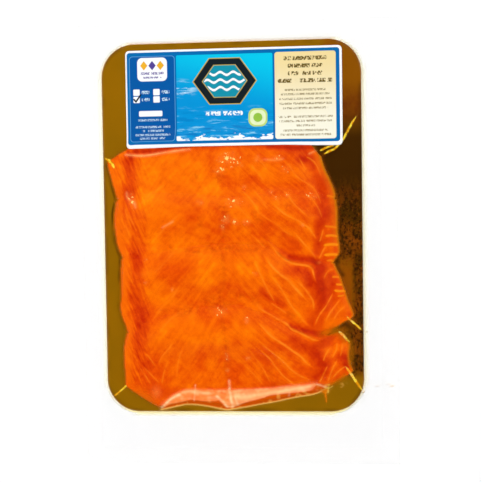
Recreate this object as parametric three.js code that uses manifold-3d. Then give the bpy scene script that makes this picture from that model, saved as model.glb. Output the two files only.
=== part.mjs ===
// A vacuum pack of sliced smoked sea trout, lying flat with the fish up.
// Four broad slices lap over each other on a gold card. A clear pouch is drawn tight over slices and card,
// its front and back sheets meet in a flat margin all round, and a printed label is stuck across its head end.
//
// Units are millimetres and +Z is up. +Y runs to the label end, +X to the right as the label is seen.
// The origin is the middle of the pouch's footprint, on the surface that the pack lies on.
import * as THREE from "three";
import { mergeVertices } from "three/addons/utils/BufferGeometryUtils.js";
import Module from "manifold-3d";

const wasm = await Module();
wasm.setup();

// ---- Driving dimensions ----
// Places are measured from the card's centre. The pouch is widest past the card's foot, then at its right.
const BOARD = { width: 140, length: 200, thickness: 1.2, corner: 18 };
const POUCH = { width: 172, length: 240, x: 3, y: -9, film: 0.25, columns: 32, rows: 44 };
const LABEL = { width: 117, length: 52.4, x: 1.3, y: 70.4, thickness: 0.25, corner: 2.2 };
const CLEAR = 0.3; // air left between neighbouring pieces
const LAP = 0.35; // air left under a slice

const CARD_UNDERSIDE = POUCH.film + CLEAR;
const CARD_TOP = CARD_UNDERSIDE + BOARD.thickness;

// ---- Slices ----
const SLICE = {
  thickness: 4.4,
  edge: 0.55, // the least thickness, all round the cut outline
  columns: 25,
  rows: 10,
};

// Share of the full thickness at a distance in from each kind of edge.
// The sides have a soft rim with a shallow groove inside it, where loin and belly flap meet.
const SIDE_RISE = [[0, 0.1], [2, 0.5], [5, 0.68], [8.5, 0.58], [12.5, 0.9], [17, 1]];
const HEAD_RISE = [[0, 0.25], [3, 0.5], [14, 1]];
const LAPPED_FOOT_RISE = [[0, 0.1], [16, 1]];
const OPEN_FOOT_RISE = [[0, 0.08], [2.5, 0.42], [5.5, 0.8], [9, 1]];

// An outline is four smooth curves: head and foot give y at an x, left and right give x at a y.
const SLICES = [
  {
    name: "slice_1",
    head: [[-68, 36.4], [-66, 37.6], [-57, 43], [-45, 48.5], [5, 52], [40, 46.5], [50, 37]],
    foot: [[-60, -7], [52, -9]],
    left: [
      [45, -67.6], [36, -67.4], [31, -66.3], [26.6, -65.2], [22, -64], [17, -62.6], [6, -59],
      [-14, -56],
    ],
    right: [
      [45, 48.2], [38.5, 48.2], [33, 49.6], [28.8, 51.2], [24.5, 53.2], [20.2, 54.9], [16, 55.6],
      [8, 53], [-14, 50],
    ],
    footRise: LAPPED_FOOT_RISE,
  },
  {
    name: "slice_2",
    head: [[-64, 15], [-57, 19], [-28, 18.8], [2, 16.5], [26, 19.3], [57, 14.5]],
    foot: [[-55, -36], [47, -40]],
    left: [
      [18, -62.6], [13.6, -63.2], [8, -64.2], [4, -64.4], [-3, -63.6], [-8, -62.9], [-12.5, -61.4],
      [-18, -59.2], [-45, -56],
    ],
    right: [[18, 56], [8, 56.7], [-3, 56.9], [-9, 57.5], [-14, 57.5], [-18.5, 54.6], [-24, 51], [-45, 48.5]],
    footRise: LAPPED_FOOT_RISE,
  },
  {
    name: "slice_3",
    head: [[-61, -16], [-45, -14], [-20, -9.6], [8, -9], [21, -11], [32, -18.7], [47, -20], [56, -19.4]],
    foot: [[-52, -70], [46, -73]],
    left: [
      [-13, -60], [-18, -60.7], [-25, -61.3], [-34, -61.1], [-42, -61.6], [-47, -61.1], [-52, -59.3],
      [-57, -57.8], [-63, -55.5], [-77, -52],
    ],
    right: [
      [-18, 54.6], [-22, 55.7], [-26.5, 57.8], [-34, 60.4], [-39.4, 62], [-43.6, 63.7], [-48.4, 64.4],
      [-52, 58.4], [-60, 49], [-77, 45],
    ],
    footRise: LAPPED_FOOT_RISE,
  },
  {
    name: "slice_4",
    head: [
      [-60, -56.8], [-45, -49.3], [-15, -42.6], [5, -41.8], [19, -48], [34, -55.2], [50, -58.2],
      [57.4, -57], [63.5, -63.4],
    ],
    foot: [
      [-61, -85.6], [-56, -88.2], [-50.4, -91.9], [-45, -95], [-40.6, -97], [-30, -94.4], [-14, -94.6],
      [-4, -96.2], [20, -92.8], [43, -88.4], [48, -87.2], [52.4, -85.4], [55, -83.8], [58.4, -81.4],
      [61, -79.2], [64, -76.4],
    ],
    left: [[-51, -57.4], [-56.5, -58.4], [-61, -59.7], [-66, -60.2], [-73, -60.1], [-90, -59.6]],
    right: [[-55, 63.4], [-61, 62.4], [-68, 62.2], [-73, 63], [-90, 62]],
    footRise: OPEN_FOOT_RISE,
  },
];

// ---- Laying one piece on another ----
const LATTICE = 0.5; // spacing of the points at which the height of the pile is kept
const LAYING = { rounds: 60, tolerance: 0.02 };
// How far a point that nothing holds up hangs below the mean of its neighbours.
const SLICE_SAG = 0.5;
const VACUUM_PULL = 1.4;

// ---- Materials ----
const gold = new THREE.MeshStandardMaterial({ color: 0x936504, roughness: 0.3, metalness: 1 });
const flesh = new THREE.MeshStandardMaterial({ color: 0xfb6a02, roughness: 0.4, metalness: 0 });
const print = new THREE.MeshStandardMaterial({ color: 0x0a5fae, roughness: 0.35, metalness: 0 });
const film = new THREE.MeshStandardMaterial({
  color: 0xf4f6f6,
  roughness: 0.12,
  metalness: 0,
  transparent: true,
  opacity: 0.25,
});

// A smooth curve through pairs of place and value, level past its ends.
function curveThrough(pairs) {
  const knots = [...pairs].sort((a, b) => a[0] - b[0]);
  const last = knots.length - 1;
  const slopeAt = (i) => {
    const before = knots[Math.max(i - 1, 0)];
    const after = knots[Math.min(i + 1, last)];
    return i === 0 || i === last ? 0 : (after[1] - before[1]) / (after[0] - before[0]);
  };
  const slopes = knots.map((_, i) => slopeAt(i));
  return (place) => {
    if (place <= knots[0][0]) return knots[0][1];
    if (place >= knots[last][0]) return knots[last][1];
    const i = knots.findIndex((knot) => knot[0] > place) - 1;
    const [from, to] = [knots[i], knots[i + 1]];
    const span = to[0] - from[0];
    const u = (place - from[0]) / span;
    const blend = u * u * (3 - 2 * u);
    const leaving = u * (1 - u) * (1 - u) * span * slopes[i];
    const arriving = u * u * (u - 1) * span * slopes[i + 1];
    return from[1] + (to[1] - from[1]) * blend + leaving + arriving;
  };
}

function mix(a, b, share) {
  return a + (b - a) * share;
}

// ---- Surfaces: a grid of points in columns from left to right and rows from foot to head ----
function surfaceOver(columns, rows, pointAt) {
  const points = [];
  for (let j = 0; j <= rows; j++) {
    for (let i = 0; i <= columns; i++) points.push([...pointAt(i, j), 0]);
  }
  return { columns, rows, points };
}

// The same surface, each point lifted by what lift gives for it.
function raised(surface, lift) {
  const points = surface.points.map(([x, y, z]) => [x, y, z + lift([x, y])]);
  return { ...surface, points };
}

// The point numbers of the surface's triangles, two for each cell of the grid.
function trianglesOf({ columns, rows }) {
  const triangles = [];
  for (let j = 0; j < rows; j++) {
    for (let i = 0; i < columns; i++) {
      const corner = j * (columns + 1) + i;
      const opposite = corner + columns + 2;
      triangles.push([corner, corner + 1, opposite], [corner, opposite, opposite - 1]);
    }
  }
  return triangles;
}

function facesOf(surface) {
  return trianglesOf(surface).map((triangle) => triangle.map((n) => surface.points[n]));
}

// The point numbers round the surface's rim, seen from above, against the clock.
function rimOf({ columns, rows }) {
  const rim = [];
  for (let i = 0; i < columns; i++) rim.push(i);
  for (let j = 0; j < rows; j++) rim.push(j * (columns + 1) + columns);
  for (let i = columns; i > 0; i--) rim.push(rows * (columns + 1) + i);
  for (let j = rows; j > 0; j--) rim.push(j * (columns + 1));
  return rim;
}

// The closed solid between an upper and a lower surface on the same grid.
function sheetGeometry(upper, lower) {
  const below = upper.points.length;
  const indices = [];
  for (const [a, b, c] of trianglesOf(upper)) {
    indices.push(a, b, c, a + below, c + below, b + below);
  }
  const rim = rimOf(upper);
  rim.forEach((from, n) => {
    const to = rim[(n + 1) % rim.length];
    indices.push(from, from + below, to + below, from, to + below, to);
  });
  const positions = [...upper.points, ...lower.points].flat();
  const geometry = new THREE.BufferGeometry();
  geometry.setAttribute("position", new THREE.Float32BufferAttribute(positions, 3));
  geometry.setIndex(indices);
  return geometry;
}

function roundedRectangle(width, length, radius) {
  const [x, y, quarter] = [width / 2 - radius, length / 2 - radius, Math.PI / 2];
  const shape = new THREE.Shape();
  shape.absarc(x, y, radius, 0, quarter);
  shape.absarc(-x, y, radius, quarter, 2 * quarter);
  shape.absarc(-x, -y, radius, 2 * quarter, 3 * quarter);
  shape.absarc(x, -y, radius, 3 * quarter, 4 * quarter);
  return shape;
}

// ---- The shape of a slice ----
function sliceForm(outline) {
  const edges = {
    head: curveThrough(outline.head),
    foot: curveThrough(outline.foot),
    left: curveThrough(outline.left),
    right: curveThrough(outline.right),
  };
  const rise = {
    side: curveThrough(SIDE_RISE),
    head: curveThrough(HEAD_RISE),
    foot: curveThrough(outline.footRise),
  };
  // How far (x, y) lies inside each edge, negative outside it.
  const inset = (x, y) => ({
    head: edges.head(x) - y,
    foot: y - edges.foot(x),
    left: x - edges.left(y),
    right: edges.right(y) - x,
  });
  const thickness = (x, y) => {
    const from = inset(x, y);
    const share = rise.side(from.left) * rise.side(from.right) * rise.head(from.head) * rise.foot(from.foot);
    return SLICE.edge + (SLICE.thickness - SLICE.edge) * share;
  };
  // The point at a share of the way from left to right and from foot to head, found by going round.
  const pointAt = (acrossShare, upShare) => {
    let x = 0;
    let y = mix(edges.foot(x), edges.head(x), upShare);
    for (let round = 0; round < LAYING.rounds; round++) {
      x = mix(edges.left(y), edges.right(y), acrossShare);
      y = mix(edges.foot(x), edges.head(x), upShare);
    }
    return [x, y];
  };
  return { thickness, pointAt };
}

// ---- The pile ----
// How high the pieces laid so far reach, at the points of a lattice over the whole pouch.
const pile = {
  left: POUCH.x - POUCH.width / 2,
  foot: POUCH.y - POUCH.length / 2,
  columns: POUCH.width / LATTICE + 1,
  rows: POUCH.length / LATTICE + 1,
};
pile.heights = new Float32Array(pile.columns * pile.rows).fill(POUCH.film);

// Calls visit(column, row, shares) for each lattice point of a triangle seen from above.
// The shares are the weights of its corners at that point.
function visitInside([a, b, c], visit) {
  const doubleArea = (b[0] - a[0]) * (c[1] - a[1]) - (c[0] - a[0]) * (b[1] - a[1]);
  const lowest = (axis) => Math.min(a[axis], b[axis], c[axis]);
  const highest = (axis) => Math.max(a[axis], b[axis], c[axis]);
  const firstColumn = Math.ceil((lowest(0) - pile.left) / LATTICE);
  const lastColumn = Math.floor((highest(0) - pile.left) / LATTICE);
  const firstRow = Math.ceil((lowest(1) - pile.foot) / LATTICE);
  const lastRow = Math.floor((highest(1) - pile.foot) / LATTICE);
  for (let row = firstRow; row <= lastRow; row++) {
    const y = pile.foot + row * LATTICE;
    for (let column = firstColumn; column <= lastColumn; column++) {
      const x = pile.left + column * LATTICE;
      const shareB = ((x - a[0]) * (c[1] - a[1]) - (c[0] - a[0]) * (y - a[1])) / doubleArea;
      const shareC = ((b[0] - a[0]) * (y - a[1]) - (x - a[0]) * (b[1] - a[1])) / doubleArea;
      const shares = [1 - shareB - shareC, shareB, shareC];
      if (Math.min(...shares) >= 0) visit(column, row, shares);
    }
  }
}

function heightIn(corners, shares) {
  return corners.reduce((sum, corner, n) => sum + corner[2] * shares[n], 0);
}

// The pile's height at a lattice point, or beside it where that is higher.
function pileHeight(column, row) {
  let highest = 0;
  for (let i = Math.max(column - 1, 0); i <= Math.min(column + 1, pile.columns - 1); i++) {
    for (let j = Math.max(row - 1, 0); j <= Math.min(row + 1, pile.rows - 1); j++) {
      highest = Math.max(highest, pile.heights[j * pile.columns + i]);
    }
  }
  return highest;
}

function addToPile(surface) {
  for (const corners of facesOf(surface)) {
    visitInside(corners, (column, row, shares) => {
      const index = row * pile.columns + column;
      pile.heights[index] = Math.max(pile.heights[index], heightIn(corners, shares));
    });
  }
}

// Lays a surface on the pile with the given clearance under it. Its points start at the pile's height,
// and where a face dips nearer the pile between them, its corners rise.
function layOnPile(surface, clearance, sag) {
  for (const point of surface.points) {
    const column = Math.round((point[0] - pile.left) / LATTICE);
    const row = Math.round((point[1] - pile.foot) / LATTICE);
    point[2] = pileHeight(column, row) + clearance;
  }
  const faces = facesOf(surface);
  for (let round = 0; round < LAYING.rounds; round++) {
    for (const corners of faces) {
      visitInside(corners, (column, row, shares) => {
        const dip = pileHeight(column, row) + clearance - heightIn(corners, shares);
        if (dip < LAYING.tolerance) return;
        const weight = shares.reduce((sum, share) => sum + share * share, 0);
        corners.forEach((corner, n) => {
          corner[2] += (dip * shares[n]) / weight;
        });
      });
    }
  }
  settle(surface, sag);
}

// Inner points rise to the mean of their neighbours, less the sag, where that is higher than they are held.
function settle({ columns, rows, points }, sag) {
  const held = points.map((point) => point[2]);
  const across = columns + 1;
  for (let round = 0; round < LAYING.rounds; round++) {
    for (let j = 1; j < rows; j++) {
      for (let i = 1; i < columns; i++) {
        const n = j * across + i;
        const around = [n - 1, n + 1, n - across, n + across].map((beside) => points[beside][2]);
        const mean = around.reduce((sum, height) => sum + height, 0) / around.length;
        points[n][2] = Math.max(held[n], mean - sag);
      }
    }
  }
}

// ---- Slices and card ----
function makeSlice(outline) {
  const form = sliceForm(outline);
  const place = (i, j) => form.pointAt(i / SLICE.columns, j / SLICE.rows);
  const under = surfaceOver(SLICE.columns, SLICE.rows, place);
  layOnPile(under, LAP, SLICE_SAG);
  const top = raised(under, ([x, y]) => form.thickness(x, y));
  addToPile(top);
  return named(outline.name, sheetGeometry(top, under), flesh);
}

function makeBoard() {
  const shape = roundedRectangle(BOARD.width, BOARD.length, BOARD.corner);
  const depth = { depth: BOARD.thickness, bevelEnabled: false, curveSegments: 9 };
  const geometry = new THREE.ExtrudeGeometry(shape, depth);
  const board = named("board", geometry, gold);
  board.position.z = CARD_UNDERSIDE;
  for (let column = 0; column < pile.columns; column++) {
    for (let row = 0; row < pile.rows; row++) {
      const covered = onBoard(pile.left + column * LATTICE, pile.foot + row * LATTICE);
      if (covered) pile.heights[row * pile.columns + column] = CARD_TOP;
    }
  }
  return board;
}

// Whether a point is over the card, whose corners are round.
function onBoard(x, y) {
  const dx = Math.max(Math.abs(x) - (BOARD.width / 2 - BOARD.corner), 0);
  const dy = Math.max(Math.abs(y) - (BOARD.length / 2 - BOARD.corner), 0);
  return Math.hypot(dx, dy) <= BOARD.corner;
}

// ---- Pouch ----
// The underside of the front sheet, drawn down on all that lies on the back one.
function frontUnderside() {
  const { columns, rows, width, length } = POUCH;
  const corner = (i, j) => [pile.left + (i * width) / columns, pile.foot + (j * length) / rows];
  const sheet = surfaceOver(columns, rows, corner);
  layOnPile(sheet, CLEAR, VACUUM_PULL);
  return sheet;
}

function makePouchFront(underFront) {
  return named("pouch_front", sheetGeometry(raised(underFront, () => POUCH.film), underFront), film);
}

function makePouchBack() {
  const geometry = new THREE.BoxGeometry(POUCH.width, POUCH.length, POUCH.film);
  const back = named("pouch_back", geometry, film);
  back.position.set(POUCH.x, POUCH.y, POUCH.film / 2);
  return back;
}

// ---- Label ----
function toSolid(geometry) {
  const bare = geometry.clone();
  bare.deleteAttribute("normal");
  bare.deleteAttribute("uv");
  const merged = mergeVertices(bare, 1e-4);
  const mesh = new wasm.Mesh({
    numProp: 3,
    vertProperties: merged.attributes.position.array,
    triVerts: new Uint32Array(merged.index.array),
  });
  return new wasm.Manifold(mesh);
}

function fromSolid(solid) {
  const mesh = solid.getMesh();
  const geometry = new THREE.BufferGeometry();
  geometry.setAttribute("position", new THREE.BufferAttribute(mesh.vertProperties, 3));
  geometry.setIndex(new THREE.BufferAttribute(mesh.triVerts, 1));
  return geometry;
}

// The label is cut by its outline out of a sheet that lies on the front of the pouch.
function makeLabel(underFront) {
  const under = raised(underFront, () => POUCH.film + CLEAR);
  const sheet = sheetGeometry(raised(under, () => LABEL.thickness), under);
  const outline = roundedRectangle(LABEL.width, LABEL.length, LABEL.corner);
  const abovePack = SLICE.thickness * SLICES.length;
  const depth = { depth: abovePack, bevelEnabled: false, curveSegments: 4 };
  const cutter = new THREE.ExtrudeGeometry(outline, depth);
  cutter.translate(LABEL.x, LABEL.y, 0);
  return named("label", fromSolid(toSolid(sheet).intersect(toSolid(cutter))), print);
}

function named(name, geometry, material) {
  const mesh = new THREE.Mesh(geometry, material);
  mesh.name = name;
  return mesh;
}

// ---- Assembly, each piece laid on those before it ----
const pack = new THREE.Group();
pack.position.set(-POUCH.x, -POUCH.y, 0);
pack.add(makePouchBack(), makeBoard(), ...SLICES.map(makeSlice));
const underFront = frontUnderside();
pack.add(makePouchFront(underFront), makeLabel(underFront));

export default pack;
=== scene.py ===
"""A flat vacuum pack of sliced smoked sea trout, seen from above on a pale floor.

Four slices lap over each other on a gold card, inside a clear pouch drawn tight over them, with a printed
label across its head end. Places are in millimetres from the card's centre, with +Y to the label end and
heights above the floor, and go to metres in the frame only when a mesh is made.
"""
import math

import bpy
import numpy as np
from mathutils import Matrix, Vector


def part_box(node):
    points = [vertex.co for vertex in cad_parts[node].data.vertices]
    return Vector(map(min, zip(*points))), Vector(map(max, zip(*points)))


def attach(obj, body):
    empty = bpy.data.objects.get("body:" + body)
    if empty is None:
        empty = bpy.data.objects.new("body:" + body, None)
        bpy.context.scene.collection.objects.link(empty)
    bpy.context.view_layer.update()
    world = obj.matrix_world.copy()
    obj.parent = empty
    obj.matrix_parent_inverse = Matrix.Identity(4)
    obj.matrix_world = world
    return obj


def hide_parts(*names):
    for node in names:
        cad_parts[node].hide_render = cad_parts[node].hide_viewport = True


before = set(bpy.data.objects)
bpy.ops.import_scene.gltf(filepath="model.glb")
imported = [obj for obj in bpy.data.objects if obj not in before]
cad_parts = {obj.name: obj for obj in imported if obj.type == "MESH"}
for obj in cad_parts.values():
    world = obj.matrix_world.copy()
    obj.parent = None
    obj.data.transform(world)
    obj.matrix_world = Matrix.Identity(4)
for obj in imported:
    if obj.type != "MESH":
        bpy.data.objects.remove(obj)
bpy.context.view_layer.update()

MM = 0.001
BODY = "root"
rng = np.random.default_rng(11)


def box_mm(node):
    low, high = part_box(node)
    return np.array(low) / MM, np.array(high) / MM


CARD_LOW, CARD_HIGH = box_mm("board")
POUCH_LOW, POUCH_HIGH = box_mm("pouch_back")
LABEL_LOW, LABEL_HIGH = box_mm("label")
CENTRE = (CARD_LOW + CARD_HIGH) / 2
CARD_WIDTH, CARD_LENGTH = (CARD_HIGH - CARD_LOW)[:2]
CARD_TOP = CARD_HIGH[2]
CARD_CORNER = 18.0
FILM_TOP_AT_REST = POUCH_HIGH[2]


# ---- Numbers on a lattice over the pouch ----
STEP = 0.5
XS = np.arange(POUCH_LOW[0] - CENTRE[0], POUCH_HIGH[0] - CENTRE[0] + STEP / 2, STEP)
YS = np.arange(POUCH_LOW[1] - CENTRE[1], POUCH_HIGH[1] - CENTRE[1] + STEP / 2, STEP)
X, Y = np.meshgrid(XS, YS)


def smoothstep(value, low, high):
    u = np.clip((value - low) / (high - low), 0, 1)
    return u * u * (3 - 2 * u)


def sample(field, x, y):
    """The field's values at places between lattice points."""
    i = np.clip((x - XS[0]) / STEP, 0, len(XS) - 1.001)
    j = np.clip((y - YS[0]) / STEP, 0, len(YS) - 1.001)
    i0, j0 = i.astype(int), j.astype(int)
    u, v = i - i0, j - j0
    near = field[j0, i0] * (1 - u) + field[j0, i0 + 1] * u
    far = field[j0 + 1, i0] * (1 - u) + field[j0 + 1, i0 + 1] * u
    return near * (1 - v) + far * v


def blur(field, sigma_mm):
    """A Gaussian blur, with the rim's values carried on outside."""
    reach = int(math.ceil(3 * sigma_mm / STEP))
    weights = np.exp(-0.5 * (np.arange(-reach, reach + 1) * STEP / sigma_mm) ** 2)
    weights /= weights.sum()
    for axis in (0, 1):
        count = field.shape[axis]
        padding = [(reach, reach) if a == axis else (0, 0) for a in (0, 1)]
        padded = np.pad(field, padding, mode="edge")
        parts = (w * np.take(padded, range(k, k + count), axis) for k, w in enumerate(weights))
        field = sum(parts)
    return field


def noise(size_mm):
    """Seeded smooth noise with features of about that size, mostly between -1 and 1."""
    field = blur(rng.standard_normal(X.shape), size_mm / 2.5)
    return field / (2 * field.std())


def bump_at(x, y, width, height=None, turn=0.0):
    """1 at a place, falling smoothly to 0 over about its width (and height, turned by some degrees)."""
    height = height or width
    c, s = math.cos(math.radians(turn)), math.sin(math.radians(turn))
    along, across = (X - x) * c + (Y - y) * s, (Y - y) * c - (X - x) * s
    return np.exp(-((along / width) ** 2) - (across / height) ** 2)


def bend(points, legs=4):
    """A smooth line through the points, with so many legs between one point and the next."""
    knots = np.array([points[0], *points, points[-1]], float)
    line = [knots[1]]
    for a, b, c, d in zip(knots, knots[1:], knots[2:], knots[3:]):
        for t in np.arange(1, legs + 1) / legs:
            line.append(0.5 * (2 * b + (c - a) * t + (2 * a - 5 * b + 4 * c - d) * t**2
                               + (3 * b - a - 3 * c + d) * t**3))
    return np.array(line)


def near_path(points, reach):
    """The part of the lattice near a line, how far each point there is from it, and where along it."""
    line = bend(points)
    low, high = line.min(0) - reach, line.max(0) + reach
    columns = slice(*np.searchsorted(XS, (low[0], high[0])))
    rows = slice(*np.searchsorted(YS, (low[1], high[1])))
    x, y = X[rows, columns], Y[rows, columns]
    nearest = np.full(x.shape, 1e9)
    place = np.zeros(x.shape)
    legs = len(line) - 1
    for k, ((x0, y0), (x1, y1)) in enumerate(zip(line, line[1:])):
        dx, dy = x1 - x0, y1 - y0
        t = np.clip(((x - x0) * dx + (y - y0) * dy) / max(dx * dx + dy * dy, 1e-9), 0, 1)
        far = np.hypot(x - x0 - t * dx, y - y0 - t * dy)
        closer = far < nearest
        nearest = np.where(closer, far, nearest)
        place = np.where(closer, (k + t) / legs, place)
    return (rows, columns), nearest, place


def along_paths(paths):
    """A field that rises to each path's amount over its width, and is the greatest of them anywhere."""
    field = np.zeros(X.shape)
    for amount, width, points in paths:
        window, far, _ = near_path(points, 2.5 * width)
        field[window] = np.maximum(field[window], amount * np.exp(-((far / width) ** 2)))
    return field


def thin_lines(lines):
    """How many half widths off the nearest thin line each point is, and that line's amount."""
    off = np.full(X.shape, 4.0)
    strength = np.zeros(X.shape)
    for amount, half_width, points in lines:
        window, far, place = near_path(points, 5 * half_width)
        taper = 0.15 + 0.85 * smoothstep(place, 0, 0.22) * smoothstep(place, 1, 0.78)
        here = far / (half_width * taper)
        closer = here < off[window]
        strength[window] = np.where(closer, amount, strength[window])
        off[window] = np.where(closer, here, off[window])
    return off, strength


def curve_through(pairs):
    """A smooth curve through pairs of place and value, level past its ends."""
    knots = sorted(pairs)
    places = np.array([k[0] for k in knots], float)
    values = np.array([k[1] for k in knots], float)
    slopes = np.zeros(len(knots))
    slopes[1:-1] = (values[2:] - values[:-2]) / (places[2:] - places[:-2])

    def curve(place):
        place = np.clip(place, places[0], places[-1])
        k = np.clip(np.searchsorted(places, place, side="right") - 1, 0, len(knots) - 2)
        span = places[k + 1] - places[k]
        u = (place - places[k]) / span
        blend = u * u * (3 - 2 * u)
        leaving = u * (1 - u) ** 2 * span * slopes[k]
        arriving = u * u * (u - 1) * span * slopes[k + 1]
        return values[k] + (values[k + 1] - values[k]) * blend + leaving + arriving

    return curve


# ---- The slices' outlines and thickness ----
# They are the solids' own, but the last slice's lower right corner lies up to 1.4 mm off its solid's.
THICKNESS = 4.4  # a slice's full thickness, in millimetres
EDGE = 0.55  # its thickness at its outline
GAP = 0.12  # what each piece keeps clear of the one under it
# The share of the full thickness at a distance in from each kind of edge.
SIDE_RISE = curve_through([(0, 0.1), (2, 0.5), (5, 0.68), (8.5, 0.58), (12.5, 0.9), (17, 1)])
HEAD_RISE = curve_through([(0, 0.25), (3, 0.5), (14, 1)])
LAPPED_FOOT_RISE = curve_through([(0, 0.1), (16, 1)])
OPEN_FOOT_RISE = curve_through([(0, 0.08), (2.5, 0.42), (5.5, 0.8), (9, 1)])

SLICES = [
    {
        "name": "slice_1",
        "head": [(-68, 36.4), (-66, 37.6), (-57, 43), (-45, 48.5), (5, 52), (40, 46.5), (50, 37)],
        "foot": [(-60, -7), (52, -9)],
        "left": [
            (45, -67.6), (36, -67.4), (31, -66.3), (26.6, -65.2), (22, -64), (17, -62.6), (6, -59),
            (-14, -56),
        ],
        "right": [
            (45, 48.2), (38.5, 48.2), (33, 49.6), (28.8, 51.2), (24.5, 53.2), (20.2, 54.9), (16, 55.6),
            (8, 53), (-14, 50),
        ],
        "foot_rise": LAPPED_FOOT_RISE,
    },
    {
        "name": "slice_2",
        "head": [(-64, 15), (-57, 19), (-28, 18.8), (2, 16.5), (26, 19.3), (57, 14.5)],
        "foot": [(-55, -36), (47, -40)],
        "left": [
            (18, -62.6), (13.6, -63.2), (8, -64.2), (4, -64.4), (-3, -63.6), (-8, -62.9), (-12.5, -61.4),
            (-18, -59.2), (-45, -56),
        ],
        "right": [
            (18, 56), (8, 56.7), (-3, 56.9), (-9, 57.5), (-14, 57.5), (-18.5, 54.6), (-24, 51),
            (-45, 48.5),
        ],
        "foot_rise": LAPPED_FOOT_RISE,
    },
    {
        "name": "slice_3",
        "head": [
            (-61, -16), (-45, -14), (-20, -9.6), (8, -9), (21, -11), (32, -18.7), (47, -20), (56, -19.4),
        ],
        "foot": [(-52, -70), (46, -73)],
        "left": [
            (-13, -60), (-18, -60.7), (-25, -61.3), (-34, -61.1), (-42, -61.6), (-47, -61.1),
            (-52, -59.3), (-57, -57.8), (-63, -55.5), (-77, -52),
        ],
        "right": [
            (-18, 54.6), (-22, 55.7), (-26.5, 57.8), (-34, 60.4), (-39.4, 62), (-43.6, 63.7),
            (-48.4, 64.4), (-52, 58.4), (-60, 49), (-77, 45),
        ],
        "foot_rise": LAPPED_FOOT_RISE,
    },
    {
        "name": "slice_4",
        "head": [
            (-60, -56.8), (-45, -49.3), (-15, -42.6), (5, -41.8), (19, -48), (34, -55.2), (50, -58.2),
            (57.4, -57), (63.5, -63.4),
        ],
        "foot": [
            (-61, -85.6), (-56, -88.2), (-50.4, -91.9), (-45, -95), (-40.6, -97), (-30, -94.4),
            (-14, -94.6), (-4, -96.2), (20, -92.8), (43, -88.4), (48, -87.2), (52.4, -85.4), (55, -83.8),
            (58.4, -81.6), (61, -80), (64.4, -77.8),
        ],
        "left": [(-51, -57.4), (-56.5, -58.4), (-61, -59.7), (-66, -60.2), (-73, -60.1), (-90, -59.6)],
        "right": [(-55, 64.2), (-61, 63.2), (-65, 62.7), (-69, 62.2), (-73.6, 62.8), (-78, 64.2),
                  (-90, 64)],
        "foot_rise": OPEN_FOOT_RISE,
    },
]


PLACING_ROUNDS = 40  # enough for the places to settle between curved edges


class Slice:
    """One slice: its edges, and its fields on the lattice."""

    def __init__(self, outline):
        self.name = outline["name"]
        self.edges = {side: curve_through(outline[side]) for side in ("head", "foot", "left", "right")}
        # How far each lattice point lies inside each edge.
        self.inset = {
            "head": self.edges["head"](X) - Y,
            "foot": Y - self.edges["foot"](X),
            "left": X - self.edges["left"](Y),
            "right": self.edges["right"](Y) - X,
        }
        # How far it lies inside the outline, negative outside it.
        self.depth = np.minimum.reduce(list(self.inset.values()))
        self.inside = self.depth >= 0
        share = SIDE_RISE(self.inset["left"]) * SIDE_RISE(self.inset["right"])
        share = share * HEAD_RISE(self.inset["head"]) * outline["foot_rise"](self.inset["foot"])
        self.thickness = EDGE + (THICKNESS - EDGE) * share

    def lay(self, pile):
        """Lays the slice on the pile, and gives the pile's new height."""
        self.under = np.maximum(blur(pile, SLICE_STIFFNESS), pile) + GAP
        self.top = self.under + self.thickness
        return np.where(self.inside, np.maximum(pile, self.top), pile)

    def places(self, columns, rows):
        """Places on a grid that fills the outline."""
        across, up = np.meshgrid(np.linspace(0, 1, columns + 1), np.linspace(0, 1, rows + 1))
        x = np.zeros(across.shape)
        y = self.edges["foot"](x) * (1 - up) + self.edges["head"](x) * up
        for _ in range(PLACING_ROUNDS):
            x = self.edges["left"](y) * (1 - across) + self.edges["right"](y) * across
            y = self.edges["foot"](x) * (1 - up) + self.edges["head"](x) * up
        return x, y


def on_card():
    """The signed distance inside the card's outline, whose corners are round."""
    dx = np.abs(X) - (CARD_WIDTH / 2 - CARD_CORNER)
    dy = np.abs(Y) - (CARD_LENGTH / 2 - CARD_CORNER)
    outside = np.hypot(np.maximum(dx, 0), np.maximum(dy, 0)) + np.minimum(np.maximum(dx, dy), 0)
    return CARD_CORNER - outside


# ---- Laying the slices ----
SLICE_STIFFNESS = 2.0  # over how much a slice bridges a step in what it lies on, in millimetres
PRESS = 1.7  # over how much the vacuum rounds a step between slices
SOFT_PRESS = 2.2 * PRESS  # the same towards the left, where the laps are fainter
FILL = 0.9  # how much higher than the pile it may leave the flesh beside a step
SHEET = 0.14  # the least thickness that a pressed slice keeps
TUCK = 1.0  # how far a slice runs on under the next one's edge at the surface's height


def lay_slices():
    """Lays each slice on those before it, then presses the pile. Returns the slices and its height."""
    pile = np.where(on_card() > 0, CARD_TOP, FILM_TOP_AT_REST)
    slices = [Slice(outline) for outline in SLICES]
    for item in slices:
        pile = item.lay(pile)
    return slices, press(slices, pile)


def covered(slices):
    """Where any slice lies."""
    return np.logical_or.reduce([item.inside for item in slices])


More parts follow.
